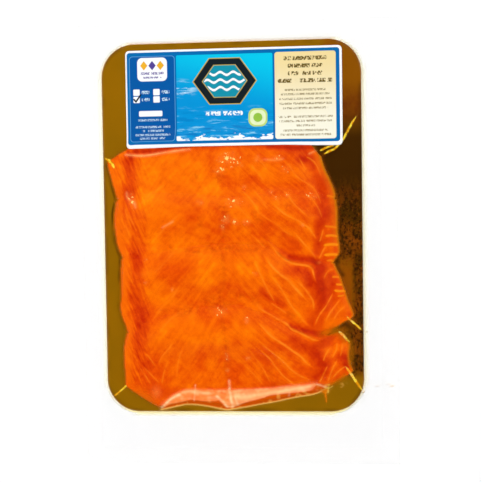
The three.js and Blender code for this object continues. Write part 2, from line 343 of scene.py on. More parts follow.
def press(slices, pile):
    """Rounds the steps between slices as the vacuum does, and keeps each slice clear of the next."""
    fish = covered(slices)

    def rounded(reach):
        weight = blur(fish.astype(float), reach)
        return blur(np.where(fish, pile, 0), reach) / np.maximum(weight, 0.02)

    crisp = smoothstep(X, 12, 30)
    skin = rounded(PRESS) * crisp + rounded(SOFT_PRESS) * (1 - crisp)
    skin = np.where(fish, np.minimum(skin, pile + FILL) + flesh_relief(), pile)
    ceiling = np.full(X.shape, np.inf)
    tucked = np.zeros(X.shape, bool)
    for item in reversed(slices):
        open_air = np.isinf(ceiling)
        pressed = np.minimum(item.top, ceiling - 0.05)
        item.top = np.where(open_air, skin, np.where(tucked, skin - 0.02, pressed))
        item.under = np.minimum(item.under, item.top - SHEET)
        # Just inside its edge a slice is thinner than the eye can tell, and the one under it shows there.
        tucked = item.inside & open_air & (item.depth <= TUCK)
        ceiling = np.where(item.inside, item.under, ceiling)
    return skin


# ---- Marks in the flesh, and shade painted on it: amount, half width and path, in millimetres from the card's centre ----
FAT_LINES = [
    # The right side above the first lap.
    (0.5, 0.6, [(28, 36), (31, 33), (35, 27), (40, 23.5), (44, 20.5), (46.5, 16), (48, 11)]),
    (0.7, 0.5, [(36, 37.5), (38.5, 33), (40, 29.5)]),
    (0.6, 0.6, [(39.5, 38), (44, 35), (46.5, 31), (48.5, 26)]),
    (0.6, 0.5, [(15, 36), (17.5, 33.5), (19.5, 30.5)]),
    (0.5, 0.6, [(10, 35), (13, 31), (16, 27), (18, 24.5)]),
    (0.6, 0.5, [(5.5, 20), (9, 17), (13, 11.5), (15, 7)]),
    (0.5, 0.5, [(11, 21.5), (15, 16.5), (18, 12), (20, 9)]),
    (0.5, 0.5, [(20, 19.5), (24, 15.5), (26, 11)]),
    (0.9, 0.7, [(20.5, 14.5), (25, 10), (30, 6.2), (35, 3.8), (38.5, 1.3), (41.5, -0.8), (43.5, -4),
                (46.5, -8)]),
    (0.7, 0.6, [(27, 20), (30, 17.5), (33, 13), (37, 9), (40, 6)]),
    (0.6, 0.5, [(41, 17.5), (44, 13.5), (46.5, 9.5), (48.5, 4)]),
    (0.5, 0.5, [(13, 10), (18, 5.5), (24, 2), (29, -2.5), (34, -5)]),
    (0.4, 0.5, [(3, 13), (7, 8), (11, 4), (14, -1)]),
    (0.6, 0.5, [(19, 36), (24, 35.6), (28, 36.2)]),
    # The second block on the right.
    (0.7, 0.6, [(49, -1), (47.8, -5), (46.8, -8.2)]),
    (0.8, 0.7, [(33, -2), (37, -7), (40.5, -11), (43, -14), (45, -17.5)]),
    (0.7, 0.6, [(50.5, -9.5), (48, -14), (46.3, -17.6)]),
    (0.6, 0.5, [(10, -3), (14, -7), (18, -11)]),
    (1.0, 0.9, [(17, -14), (21, -20), (26, -25), (30, -28), (33, -31.5), (36, -35), (39, -38.5)]),
    (0.7, 0.7, [(33, -27), (38, -32), (41, -36), (43, -40), (43.3, -45)]),
    (0.7, 0.6, [(11, -15), (14.5, -23), (18, -31), (20.5, -36), (23, -40.5)]),
    (0.7, 0.6, [(19.5, -23), (23, -28), (27, -34), (30.5, -40.5), (34.5, -46), (38.5, -51),
                (42.5, -54.2)]),
    (0.7, 0.6, [(11.5, -39), (15, -43.5), (20, -46.5), (26, -50), (30, -53)]),
    (0.6, 0.6, [(20, -40), (24.5, -43), (29.5, -46.5)]),
    (0.8, 0.6, [(54, -34.8), (50, -42), (46.3, -47), (43.2, -53.6)]),
    (0.7, 0.6, [(58, -38.2), (54.4, -42.6), (51.2, -47), (49, -52)]),
    (0.6, 0.6, [(60.4, -42), (56.2, -45.8), (53.4, -50.5)]),
    (0.6, 0.5, [(48.8, -28.2), (50, -25.1), (52, -23.2), (55, -22.8)]),
    # The last block on the right.
    (0.9, 0.8, [(14, -51), (17, -54), (21, -58), (27.5, -62.5), (32.5, -66.3), (36.3, -69.2), (38.7, -72),
                (42.5, -75.2)]),
    (0.8, 0.7, [(13, -59), (18, -64), (24, -69), (27.5, -72.5), (31, -76.3), (35.5, -79.6),
                (40.5, -81.5)]),
    (0.7, 0.6, [(12, -63), (19, -69.5), (22.5, -74.5), (26, -79), (30, -82.5), (33, -84.3)]),
    (0.5, 0.5, [(8, -64), (12, -70), (16, -76), (18, -80), (20, -84)]),
    (0.4, 0.5, [(5, -72), (9, -77), (13, -81), (16, -85)]),
    (0.8, 0.6, [(50.4, -74), (48, -79), (45.6, -84)]),
    (0.8, 0.6, [(55.5, -71), (52.5, -77), (50.2, -83.5)]),
    (0.7, 0.6, [(60.4, -74.6), (56.2, -77.5), (53, -81)]),
    (0.7, 0.5, [(51.5, -65), (49, -69), (48, -72)]),
    (0.7, 0.5, [(55.5, -62), (55, -66), (52.5, -70.5)]),
    (0.5, 0.5, [(58.4, -61.5), (58, -66), (57, -70)]),
    # The left side, where the lines are fainter.
    (0.5, 0.5, [(-31.6, -60), (-34.8, -64.4), (-39.1, -69.4), (-40.5, -73)]),
    (0.5, 0.5, [(-34.8, -70), (-37.8, -77.5), (-39.4, -84.4)]),
    (0.6, 0.5, [(-48.3, -66.5), (-45, -70.5), (-42, -75)]),
    (0.6, 0.5, [(-51.5, -75), (-48, -80), (-45, -85)]),
    (0.5, 0.5, [(-50, -74), (-44, -80), (-40.5, -83.5)]),
    (0.4, 0.5, [(-27, -63), (-30, -72), (-31, -80)]),
    (0.5, 0.5, [(-58.5, 3), (-56, -1), (-54.5, -5)]),
    (0.5, 0.5, [(-55.5, 8), (-53, 3), (-51, -1.5)]),
    (0.4, 0.5, [(-57.5, 12), (-56, 6)]),
    (0.5, 0.7, [(-36, 1.5), (-33, 2.6), (-30, 4.4)]),
    (0.35, 0.8, [(-50, 12), (-45, 17), (-40, 21), (-35, 24)]),
    (0.35, 0.8, [(-44, -8), (-38, -2), (-32, 4), (-27, 8)]),
    (0.3, 0.8, [(-42, -24), (-36, -18), (-30, -11)]),
    (0.35, 0.8, [(-44, -50), (-38, -42), (-32, -36), (-28, -30)]),
    (0.5, 0.6, [(-33, -34), (-31.6, -31)]),
    (0.3, 0.7, [(-40, -56), (-34, -49), (-27, -44)]),
]
LAP_RIDGES = [
    (1.0, 0.75, [(19, -7), (23, -12), (26, -15.5), (30, -18), (33, -19.3), (37, -20), (40, -20.5),
                 (42.5, -22), (43.6, -26), (44.8, -29.5)]),
    (1.0, 0.75, [(22, -48.5), (28, -51), (31, -54), (35, -56), (40, -58.5), (43, -60), (46.5, -60.7)]),
    (0.6, 0.6, [(41, 38.8), (43, 39.6), (45, 40.4)]),
]
STRIPES = [
    (0.8, 0.75, [(49.5, -5), (53, -4.6), (57, -5.4)]),
    (1.0, 0.85, [(48.5, -10), (53, -9.4), (57.4, -9.8)]),
    (1.0, 0.85, [(48.6, -15.2), (53, -14.8), (57, -15)]),
    (0.6, 0.6, [(50, -18.2), (53, -18), (55, -19)]),
    (0.6, 0.6, [(49, 0.4), (53, 0), (56.6, -0.6)]),
    (0.5, 0.6, [(50.6, 16.5), (53, 16.2), (55, 15.5)]),
    (0.7, 0.6, [(53, -27), (55, -26.8), (57.6, -27.2)]),
    (0.9, 0.65, [(54.8, -30.8), (57, -30.9), (59.2, -31.2)]),
    (1.0, 0.7, [(54, -34), (57, -34.4), (61, -34.3)]),
    (0.7, 0.5, [(55.5, -37.2), (58, -37), (60, -36.6)]),
]
RED_BANDS_AND_SHADOWS = [
    (0.6, 3.6, [(41, 42), (42.5, 36), (45, 31), (47.5, 25), (48.5, 16), (48, 8)]),
    (0.9, 2.6, [(38, 36), (42.5, 36), (44.5, 31)]),
    (0.6, 2.8, [(49.5, 16), (49.5, 8), (47, 1), (46, -6)]),
    (0.7, 3.0, [(46.5, 2), (46, -6), (45.4, -13)]),
    # Painted shadow on the flesh just above the first lap ridge.
    (1.1, 2.2, [(31, -16), (36, -16.8), (42, -17.4), (45, -19)]),
    (0.8, 3.4, [(35, -22), (39.6, -24.5), (41.6, -30)]),
    (0.8, 5.0, [(46.5, -22), (46.5, -29), (47.5, -36), (47.3, -43), (43.6, -50)]),
    (0.5, 3.0, [(52, -26), (53, -31), (50.5, -37)]),
    # Painted shadow on the flesh just above the second lap ridge.
    (1.0, 2.0, [(31, -53), (36, -54.6), (42, -56.4), (48, -57.5)]),
    (0.65, 3.8, [(33, -60.8), (40, -64), (47, -62.4), (50.5, -60)]),
    (0.85, 4.0, [(43, -66), (46.5, -71.4), (48.6, -76), (44.5, -80.5)]),
    (0.8, 2.8, [(57.5, -69.5), (60.6, -71), (60.6, -74.4)]),
    (0.5, 2.6, [(16, -34.4), (21, -38.4), (27, -41)]),
    (0.4, 2.6, [(9, 25), (13, 26), (18, 21)]),
    (0.75, 3.6, [(-55, 38), (-54.6, 31), (-54.6, 22)]),
    (0.45, 3.2, [(-56, 19), (-55.6, 12), (-53, 4), (-52, -5)]),
    (0.4, 4.6, [(-52, 10), (-50.4, 4), (-51, -6), (-52, -14)]),
    (1.1, 3.8, [(-52.4, -16.4), (-51.4, -20.6)]),
    (0.6, 4.0, [(-52, -22), (-51.6, -30), (-51, -38)]),
    (0.7, 4.8, [(-51.6, -37), (-50, -43), (-50, -48)]),
    (0.6, 4.6, [(-50.5, -50), (-50.6, -57), (-50.4, -64)]),
    (0.36, 6.5, [(-50, -66), (-47, -75), (-46, -86)]),
    (0.28, 5.0, [(-41, -70), (-40, -80), (-38, -88)]),
    # Painted shadow: these three are the label's shadow on the flesh along its foot.
    (1.1, 1.6, [(-52, 42.0), (-42, 41.9), (-32, 43.4), (-22, 44.4)]),
    (0.6, 1.9, [(-20, 44.5), (0, 45), (18, 44.4)]),
    (0.9, 1.8, [(20, 43.4), (32, 42.6), (44, 42)]),
    (0.35, 5.0, [(28, -6), (33, -10), (28, -14)]),
    (0.35, 5.0, [(-26, -20), (-32, -24), (-36, -20)]),
    (0.3, 4.0, [(-12, 36), (-8, 30), (-4, 25)]),
]
DARK_SPOTS_AND_LAP_SHADE = [
    (0.7, 1.8, [(-17.4, 4.4), (-17, 1.6)]), (0.6, 1.1, [(-19.6, 29), (-18.4, 27.6)]),
    (0.9, 2.8, [(-5, 10), (-2.6, 6.4), (-3.6, 2)]), (0.6, 2.2, [(-7.6, 27.4), (-5, 27.6)]),
    # Painted shade: the next five lines are dark bands along the laps between slices, near y -10 and y -40.
    (0.6, 2.4, [(-12, -10.6), (-4, -10.4), (2, -10.6)]), (0.5, 1.6, [(-24, -11.8), (-18, -12)]),
    (0.5, 1.4, [(-33.6, -10), (-32, -12.6)]), (0.45, 2.4, [(3, -10.4), (12, -11), (18, -9.6)]),
    (0.6, 2.4, [(-29, -44.6), (-24, -43.6), (-20, -42.6)]),
    (0.7, 3.4, [(-14, -39.6), (-8, -40.6), (-4.6, -41.6)]),
    (0.95, 2.2, [(-6.6, -38.6), (-6, -42.6)]), (0.5, 2.4, [(0, -36), (8, -36.6), (14, -38.6)]),
    # The rest, like the first two lines, are dark spots in the flesh.
    (0.5, 1.8, [(-3, 4), (-4.4, -6), (-4.8, -16)]), (0.45, 2.0, [(-4.6, -18), (-4.8, -26), (-6, -34)]),
    (0.5, 1.8, [(-5.6, -46), (-4.6, -56), (-3.8, -64)]), (0.7, 1.2, [(-4, -63.6), (-3.6, -65.6)]),
    (0.55, 1.8, [(-3.6, -66), (-3.8, -76), (-2.6, -86)]), (0.5, 2.4, [(-9, 31), (-6, 26)]),
    (0.4, 2.6, [(-38, -46), (-34, -44)]), (0.5, 1.6, [(12, 8), (16, 2)]), (0.5, 2.4, [(31, 12), (29, 9)]),
    (0.45, 2.4, [(30, -46), (34, -50)]), (0.4, 3.6, [(18, -78), (24, -84)]),
    (0.5, 1.4, [(24, -26), (27, -27)]),
]


LINE_RISE, RIDGE_RISE = 0.16, 0.28  # how high fat lines and laps stand out of the flesh
# The painted shadows and lap shade in those tables sink in as well.
BAND_DIP, SPOT_DIP = 0.32, 0.18  # how deep red bands and dark spots sink in


def flesh_relief():
    """How high the surface lies over its smooth form."""
    off, strength = thin_lines(FAT_LINES + LAP_RIDGES + STRIPES)
    relief = LINE_RISE * strength * smoothstep(off, 1.6, 0.2) + RIDGE_RISE * along_paths(LAP_RIDGES)
    relief -= BAND_DIP * along_paths(RED_BANDS_AND_SHADOWS) + SPOT_DIP * along_paths(DARK_SPOTS_AND_LAP_SHADE)
    return relief + 0.07 * noise(9) + 0.04 * noise(3.5)


# ---- Film: as for the flesh, amount, half width and path ----
BUBBLE_GROUPS = [
    # x, y, spread across, spread up, size, count
    (-54, 15.5, 1.6, 2.6, 0.4, 3), (-16.2, 13.6, 0.9, 0.6, 0.7, 3), (2, 13.8, 2.4, 1.2, 0.5, 6),
    (7, 21.6, 0.7, 0.5, 0.6, 2),
    (30, 17.6, 0.5, 0.6, 0.6, 2), (43, 16.4, 2.2, 0.7, 0.5, 4), (-1, 37, 3.6, 2.2, 0.6, 16),
    (14.2, 36.8, 1.0, 0.6, 0.8, 4),
    (25, 37, 1.2, 0.7, 0.5, 3), (7.4, -49, 0.4, 0.7, 0.9, 3), (7.8, -69.6, 0.7, 0.3, 0.6, 2),
    (38, 1.4, 0.4, 0.3, 0.7, 2),
    (-2.6, 4.4, 1.4, 1.2, 0.55, 10), (-4.6, 0.6, 0.6, 1.0, 0.5, 4), (2.4, 3.4, 0.8, 0.8, 0.5, 4),
    (8, 3, 1.2, 0.8, 0.5, 5),
    (-32.4, -32.4, 0.2, 0.7, 0.5, 2), (-46.5, -28.6, 0.4, 0.2, 0.5, 2), (-46.4, -16.4, 0.3, 0.2, 0.5, 1),
    (-6, 31, 1.6, 1.2, 0.4, 4), (-7, -44.6, 2.2, 1.2, 0.45, 5), (-3.6, -68.4, 0.5, 1.4, 0.5, 3),
    (-3.2, -76.2, 0.4, 0.4, 0.7, 2),
    (12.6, -24.4, 0.8, 0.4, 0.5, 1), (46.4, -19, 0.5, 0.3, 0.5, 1), (21, 19, 0.8, 0.5, 0.5, 2),
    (29, 31, 1.4, 1.0, 0.4, 2),
    (24, 15.6, 0.8, 0.4, 0.4, 2),
]
BUBBLES = [
    (x + across * rng.standard_normal(), y + up * rng.standard_normal(), size * rng.uniform(0.7, 1.3))
    for x, y, across, up, size, count in BUBBLE_GROUPS for _ in range(count)
]
CREASES = [
    {"path": [(-63.2, 32.6), (-64.4, 35.2), (-66.4, 37.4), (-69.6, 39)], "height": 1.0, "width": 1.0},
    {"path": [(-58.6, -84.8), (-62.6, -88.4), (-67.2, -92.2)], "height": 1.0, "width": 0.65},
    {"path": [(48.4, 38), (52, 40), (56, 42), (60.2, 47), (64.4, 54.4),
              (69.4, 61.8)], "height": 1.2, "width": 0.8},
    {"path": [(47, 40.2), (51, 42.2), (56, 43.8)], "height": 1.1, "width": 0.75},
    {"path": [(60.4, -47.4), (62, -49.4), (64.4, -51.6), (66.6, -53.6), (70.2, -57)],
     "height": 1.0, "width": 0.75, "pale": True},
    {"path": [(56, -56), (58.6, -58), (60.8, -60.4),
              (63.2, -63)], "height": 0.8, "width": 0.7, "pale": True},
    {"path": [(59.8, -74.6), (62.4, -78.6), (65, -82.6),
              (69.6, -89.6)], "height": 1.1, "width": 0.9, "pale": True},
]
SPIKES = [
    {"path": [(48.4, -86.2), (48.6, -89), (49.2, -94.4)], "height": 0.8, "width": 1.2},
    {"path": [(51.8, -83), (50.2, -87)], "height": 0.8, "width": 0.7},
    {"path": [(-63.9, 35), (-63.4, 38)], "height": 0.8, "width": 0.6},
]
FOOT_LINE = [
    (-40.7, -99), (-35.5, -97.9), (-29.9, -96.7), (-27.2, -96.1), (-22.8, -96.1), (-19, -96.4),
    (-13.5, -97.3),
    (-8.1, -98.4), (-4.3, -99), (-1.5, -98.7), (6.5, -97.3), (14.4, -95.8), (22.3, -94.4), (29.4, -92.8),
    (35.7, -91.6), (41.9, -90.6), (45.9, -89.3), (48.6, -87.6), (50.6, -86.8),
]
FOOT_FOLDS = [
    (0.5, 0.35, [(-21, -84.6), (-21.4, -88), (-22, -93.6)]),
    (0.7, 0.45, [(-2.6, -82), (-2.4, -86)]),
    (1.0, 0.6, [(-2.4, -86), (-2, -91), (-1.2, -97)]),
    (0.9, 0.5, [(0.4, -91.4), (1.2, -94), (1.6, -96)]),
    (0.8, 0.6, [(-9.4, -91), (-6.6, -93.6), (-4, -97.2)]),
    (1.0, 0.7, [(-40, -97.4), (-37, -94.6), (-33.4, -91.6), (-29.8, -90)]),
    (0.4, 0.4, [(29.8, -88.4), (29.4, -91.4)]),
    (0.6, 0.45, [(44.6, -84.4), (47.6, -85.6), (50.4, -86.6)]),
]
BAND_HEAD = [
    (-40.2, -96.9), (-37.3, -93), (-33.8, -89.5), (-29.4, -87.3), (-26.1, -86.3), (-21.2, -86.1),
    (-13.1, -86.3),
    (-3.3, -86.3), (6.8, -86.1), (14.7, -85.8), (22.5, -85.3), (30.3, -84.2), (37.3, -83.9),
    (43.5, -83.2),
    (46, -84),
]
BAND_FOOT = [
    (-39.8, -97.8), (-35.4, -95.9), (-29.8, -94.8), (-24.3, -93.2), (-20.5, -93.4), (-15.6, -94),
    (-10.7, -93.8),
    (-8, -93.6), (-4.8, -97.6), (-1.3, -97.8), (1.9, -96.4), (6.6, -94.4), (14.5, -92.2), (18.5, -90.8),
    (22.4, -90.2), (30.2, -89.4), (38.8, -88.4), (42, -87.6), (45, -84.6),
]
BAND_GLINTS = [
    (0.7, 0.9, [(-28, -88.6), (-23, -88.2), (-14, -89.4)]),
    (0.6, 0.7, [(-14, -91.6), (-9, -92)]),
    (0.9, 1.3, [(1, -90.6), (4, -91.6), (9, -91)]),
    (0.7, 0.9, [(10, -90.6), (16, -89.6), (23, -88.4)]),
    (1.0, 1.0, [(24, -88.6), (30, -87.4), (36, -86.4), (41, -85.6)]),
]
BAND_BLUSH = [
    (0.9, 1.0, [(-12, -91.4), (-8, -92.2)]), (0.6, 1.0, [(-25, -91), (-20, -91.4)]),
    (0.5, 0.7, [(4, -88.4), (12, -88)]),
    (0.8, 0.7, [(-7, -88.6), (-5, -89.4)]), (1.0, 1.1, [(41.6, -87), (43.4, -86)]),
    (1.0, 0.8, [(43.4, -86), (44.2, -88.6)]),
]
SPIKE_TINTS = [
    (1.0, 1.2, [(48, -88.6), (50, -88.2)]), (1.0, 0.85, [(48.4, -89.4), (49.5, -89.4)]),
    (1.0, 0.6, [(49, -90), (49.3, -92)]),
    (1.0, 0.38, [(49.3, -91), (49.5, -94.6)]),
]
SPIKE_GLINTS = [
    (1.0, 0.3, [(50.9, -84.8), (50.7, -87), (50.4, -89.6)]),
    (0.9, 0.3, [(48.8, -86.4), (50.9, -87), (53, -86)]),
]
NOTCH_FILM = [(1.0, 2.2, [(54, -55.6), (57, -57), (60, -60)]),
              (0.8, 1.6, [(62.6, -62), (63.4, -67), (62.8, -73)])]
LAST_CORNER_FILM = [(1.0, 1.5, [(51.6, -85.4), (55.6, -83.4), (59.6, -80.6)])]
SHOULDER_GLINTS = [
    (0.6, 0.6, [(-57, 40.4), (-50, 39.7), (-44, 39.8), (-36, 41), (-28, 42), (-22, 42.6)]),
    (0.45, 0.5, [(-56.6, 20), (-56, 17), (-53.6, 15.4), (-52, 14), (-51.4, 11.6)]),
    (0.3, 0.5, [(18, 36.4), (23, 36), (28, 36.4)]),
    (0.35, 0.5, [(42, 39), (45, 40.4)]),
    (0.3, 0.45, [(-37, 0.8), (-31, 4)]),
]
PULL = 0.4  # how sharply the vacuum bends film that nothing holds up, per millimetre
DRAPE_ROUNDS = 200
CREASE_SINK = 0.85  # how much of its height a crease has lost at its far end
FOLD_RISE = 0.22
BUBBLE_RISE = 0.22  # for a bubble 1 mm in radius


def drape(floor):
    """Draws a sheet down on the floor under it."""
    sheet = floor.copy()
    sag = PULL * STEP * STEP / 4
    for _ in range(DRAPE_ROUNDS):
        mean = (sheet[1:-1, :-2] + sheet[1:-1, 2:] + sheet[:-2, 1:-1] + sheet[2:, 1:-1]) / 4
        sheet[1:-1, 1:-1] = np.maximum(floor[1:-1, 1:-1], mean - sag)
    return sheet


def film_height(skin):
    """The front sheet, drawn down on the fish and the card, with a fold at each crease."""
    floor = skin + GAP
    for crease in CREASES + SPIKES:
        window, far, place = near_path(crease["path"], 2)
        ridge = CARD_TOP + crease["height"] * (1 - CREASE_SINK * place)
        floor[window] = np.maximum(floor[window], np.where(far < 0.75 * STEP, ridge, 0))
    sheet = np.maximum(drape(blur(floor, 0.5)), floor)
    sheet += FOLD_RISE * along_paths(FOOT_FOLDS)
    for x, y, size in BUBBLES:
        sheet += BUBBLE_RISE * size * bump_at(x, y, size)
    return sheet


# ---- Meshes ----
def to_frame(x, y, z):
    return np.column_stack([(x + CENTRE[0]) * MM, (y + CENTRE[1]) * MM, z * MM])


def grid_faces(columns, rows, first=0, flip=False):
    i, j = np.meshgrid(np.arange(columns), np.arange(rows))
    corner = first + (j * (columns + 1) + i).ravel()
    loop = [corner, corner + 1, corner + columns + 2, corner + columns + 1]
    return np.column_stack(loop[::-1] if flip else loop)


def rim_loop(columns, rows):
    across = columns + 1
    south = np.arange(columns)
    east = np.arange(rows) * across + columns
    north = rows * across + np.arange(columns, 0, -1)
    west = np.arange(rows, 0, -1) * across
    return np.concatenate([south, east, north, west])


def round_in(x, y, half_x, half_y, corner):
    """Draws the points of a rectangle in to its round corners."""
    kx, ky = half_x - corner, half_y - corner
    dx, dy = np.maximum(np.abs(x) - kx, 0), np.maximum(np.abs(y) - ky, 0)
    far = np.hypot(dx, dy)
    pull_in = np.where(far > 0, np.maximum(dx, dy) / np.maximum(far, 1e-9), 1)
    return (
        np.sign(x) * (np.minimum(np.abs(x), kx) + dx * pull_in),
        np.sign(y) * (np.minimum(np.abs(y), ky) + dy * pull_in),
    )


def add_object(name, data):
    item = bpy.data.objects.new(name, data)
    bpy.context.scene.collection.objects.link(item)
    return item


def make_piece(name, points, faces, material, attributes=None, replaces=(), walls=0):
    """A mesh that rides the body. So many of its last faces are walls, which are shaded flat."""
    mesh = bpy.data.meshes.new(name)
    mesh.from_pydata(points.tolist(), [], faces)
    for key, values in (attributes or {}).items():
        kind, field = ("FLOAT_COLOR", "color") if values.ndim == 2 else ("FLOAT", "value")
        layer = mesh.attributes.new(key, kind, "POINT")
        layer.data.foreach_set(field, values.astype(np.float32).ravel())
    mesh.polygons.foreach_set("use_smooth", [True] * (len(faces) - walls) + [False] * walls)
    mesh.materials.append(material)
    mesh.update()
    piece = add_object(name, mesh)
    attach(piece, BODY)
    if replaces:
        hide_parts(*replaces)
    return piece


def make_sheet(name, grid, x, y, z, material, attributes, replaces=(), flip=False):
    """A piece that is one surface over a grid."""
    faces = grid_faces(*grid, flip=flip).tolist()
    return make_piece(name, to_frame(x, y, z), faces, material, attributes, replaces)


def make_plate(name, grid, x, y, top, under, material, node, attributes=None):
    """A piece with a top and an underside over the same grid, and a wall between their rims."""
    count = len(x)
    rim = rim_loop(*grid)
    ahead = np.roll(rim, -1)
    wall = np.column_stack([rim, rim + count, ahead + count, ahead])
    faces = np.concatenate([grid_faces(*grid), grid_faces(*grid, count, flip=True), wall]).tolist()
    points = np.concatenate([to_frame(x, y, top), to_frame(x, y, under)])
    return make_piece(name, points, faces, material, attributes, [node], len(wall))


# ---- Materials ----
WHITE_LEVEL = 1.14  # how bright a pure white on the floor comes out, 1 being the brightest white shown
FILM_SHARE = 0.915  # how much of that is left under the film
WET_LEVEL = 1.02  # the level of what the front light catches on the film
GLINT_LEVEL = 1.0  # the level of its brightest glints


def shown(red, green, blue, level=WHITE_LEVEL):
    """The base colour of a surface that comes out as that colour, 0 to 255, under the studio's light."""
    value = np.array([red, green, blue]) / 255
    straight = np.where(value <= 0.04045, value / 12.92, ((value + 0.055) / 1.055) ** 2.4)
    return tuple(straight / level) + (1.0,)


def under_film(red, green, blue):
    return shown(red, green, blue, WHITE_LEVEL * FILM_SHARE)


class Graph:
    """A material's nodes. Each call adds what it needs and gives the last node's output."""

    def __init__(self, name, tree=None):
        if tree is None:
            self.material = bpy.data.materials.new(name)
            self.material.use_nodes = True
            tree = self.material.node_tree
        self.tree = tree
        tree.nodes.clear()

    def node(self, kind, inputs=None, **settings):
        node = self.tree.nodes.new("ShaderNode" + kind)
        for key, value in settings.items():
            setattr(node, key, value)
        for socket, value in (inputs or {}).items():
            if isinstance(value, bpy.types.NodeSocket):
                self.tree.links.new(value, node.inputs[socket])
            else:
                node.inputs[socket].default_value = value
        return node

    def math(self, operation, *values):
        return self.node("Math", dict(enumerate(values)), operation=operation).outputs[0]

    def times(self, first, *others):
        for other in others:
            first = self.math("MULTIPLY", first, other)
        return first

    def plus(self, first, *others):
        for other in others:
            first = self.math("ADD", first, other)
        return first

    def minus(self, a, b):
        return self.math("SUBTRACT", a, b)

    def centred(self, value, gain):
        """A value around 0.5 made one around 0, times the gain."""
        return self.times(self.minus(value, 0.5), gain)

    def vector(self, operation, *values, result=0):
        return self.node("VectorMath", dict(enumerate(values)), operation=operation).outputs[result]

    def scaled(self, vector, factors):
        return self.vector("MULTIPLY", vector, factors)

    def off(self, vector, place):
        """How far the vector lies from a place, along each axis."""
        return self.vector("ABSOLUTE", self.vector("SUBTRACT", vector, place))

    def dot(self, vector, direction):
        return self.vector("DOT_PRODUCT", vector, direction, result=1)

    def length(self, vector):
        return self.vector("LENGTH", vector, result=1)

    def joined(self, x, y, z=0.0):
        return self.node("CombineXYZ", {0: x, 1: y, 2: z}).outputs[0]

    def mix(self, share, a, b):
        inputs = {0: share, 6: a, 7: b}
        return self.node("Mix", inputs, data_type="RGBA").outputs[2]

    def step(self, value, low, high):
        """0 below low and 1 above high, smooth between, or the other way round if low is the larger."""
        inputs = {0: value, 1: low, 2: high, 3: 0.0, 4: 1.0}
        if low > high:
            inputs = {0: value, 1: high, 2: low, 3: 1.0, 4: 0.0}
        return self.node("MapRange", inputs, interpolation_type="SMOOTHSTEP").outputs[0]

    def between(self, share, low, high):
        return self.node("MapRange", {0: share, 3: low, 4: high}).outputs[0]

    def attribute(self, name, output="Fac"):
        return self.node("Attribute", attribute_name=name).outputs[output]

    def place(self):
        return self.node("TexCoord").outputs["Object"]

    def raw_noise(self, vector, scale, detail=2.0, roughness=0.5):
        inputs = {"Vector": vector, "Scale": scale, "Detail": detail, "Roughness": roughness}
        return self.node("TexNoise", inputs).outputs["Fac"]

    def noise(self, place, size_mm, detail=2.0, roughness=0.5):
        return self.raw_noise(place, 1 / (size_mm * MM), detail, roughness)

    def bump(self, height, distance_mm, strength=1.0):
        inputs = {"Height": height, "Distance": distance_mm * MM, "Strength": strength}
        return self.node("Bump", inputs).outputs[0]

    def finish(self, shader):
        output = self.node("OutputMaterial")
        self.tree.links.new(shader.outputs[0], output.inputs["Surface"])
        return self.material


FLESH_TONES = [
    (0.0, under_film(156, 22, 0)), (0.25, under_film(198, 44, 0)), (0.5, under_film(226, 76, 0)),
    (0.75, under_film(245, 109, 0)), (1.0, under_film(254, 138, 0)),
]
PALE_LINE = under_film(255, 136, 24)
BRIGHT_STRIPE = under_film(244, 136, 10)
DARK_SPOT_AND_SHADE_RED = under_film(196, 52, 0)
RIM_LEFT = under_film(240, 104, 0)
RIM_RIGHT = under_film(206, 116, 4)


def flesh_ramp(g, tone):
    ramp = g.node("ValToRGB", {0: tone})
    stops = ramp.color_ramp.elements
    for k, (position, colour) in enumerate(FLESH_TONES):
        stop = stops[k] if k < 2 else stops.new(position)
        stop.position, stop.color = position, colour
    return ramp.outputs[0]


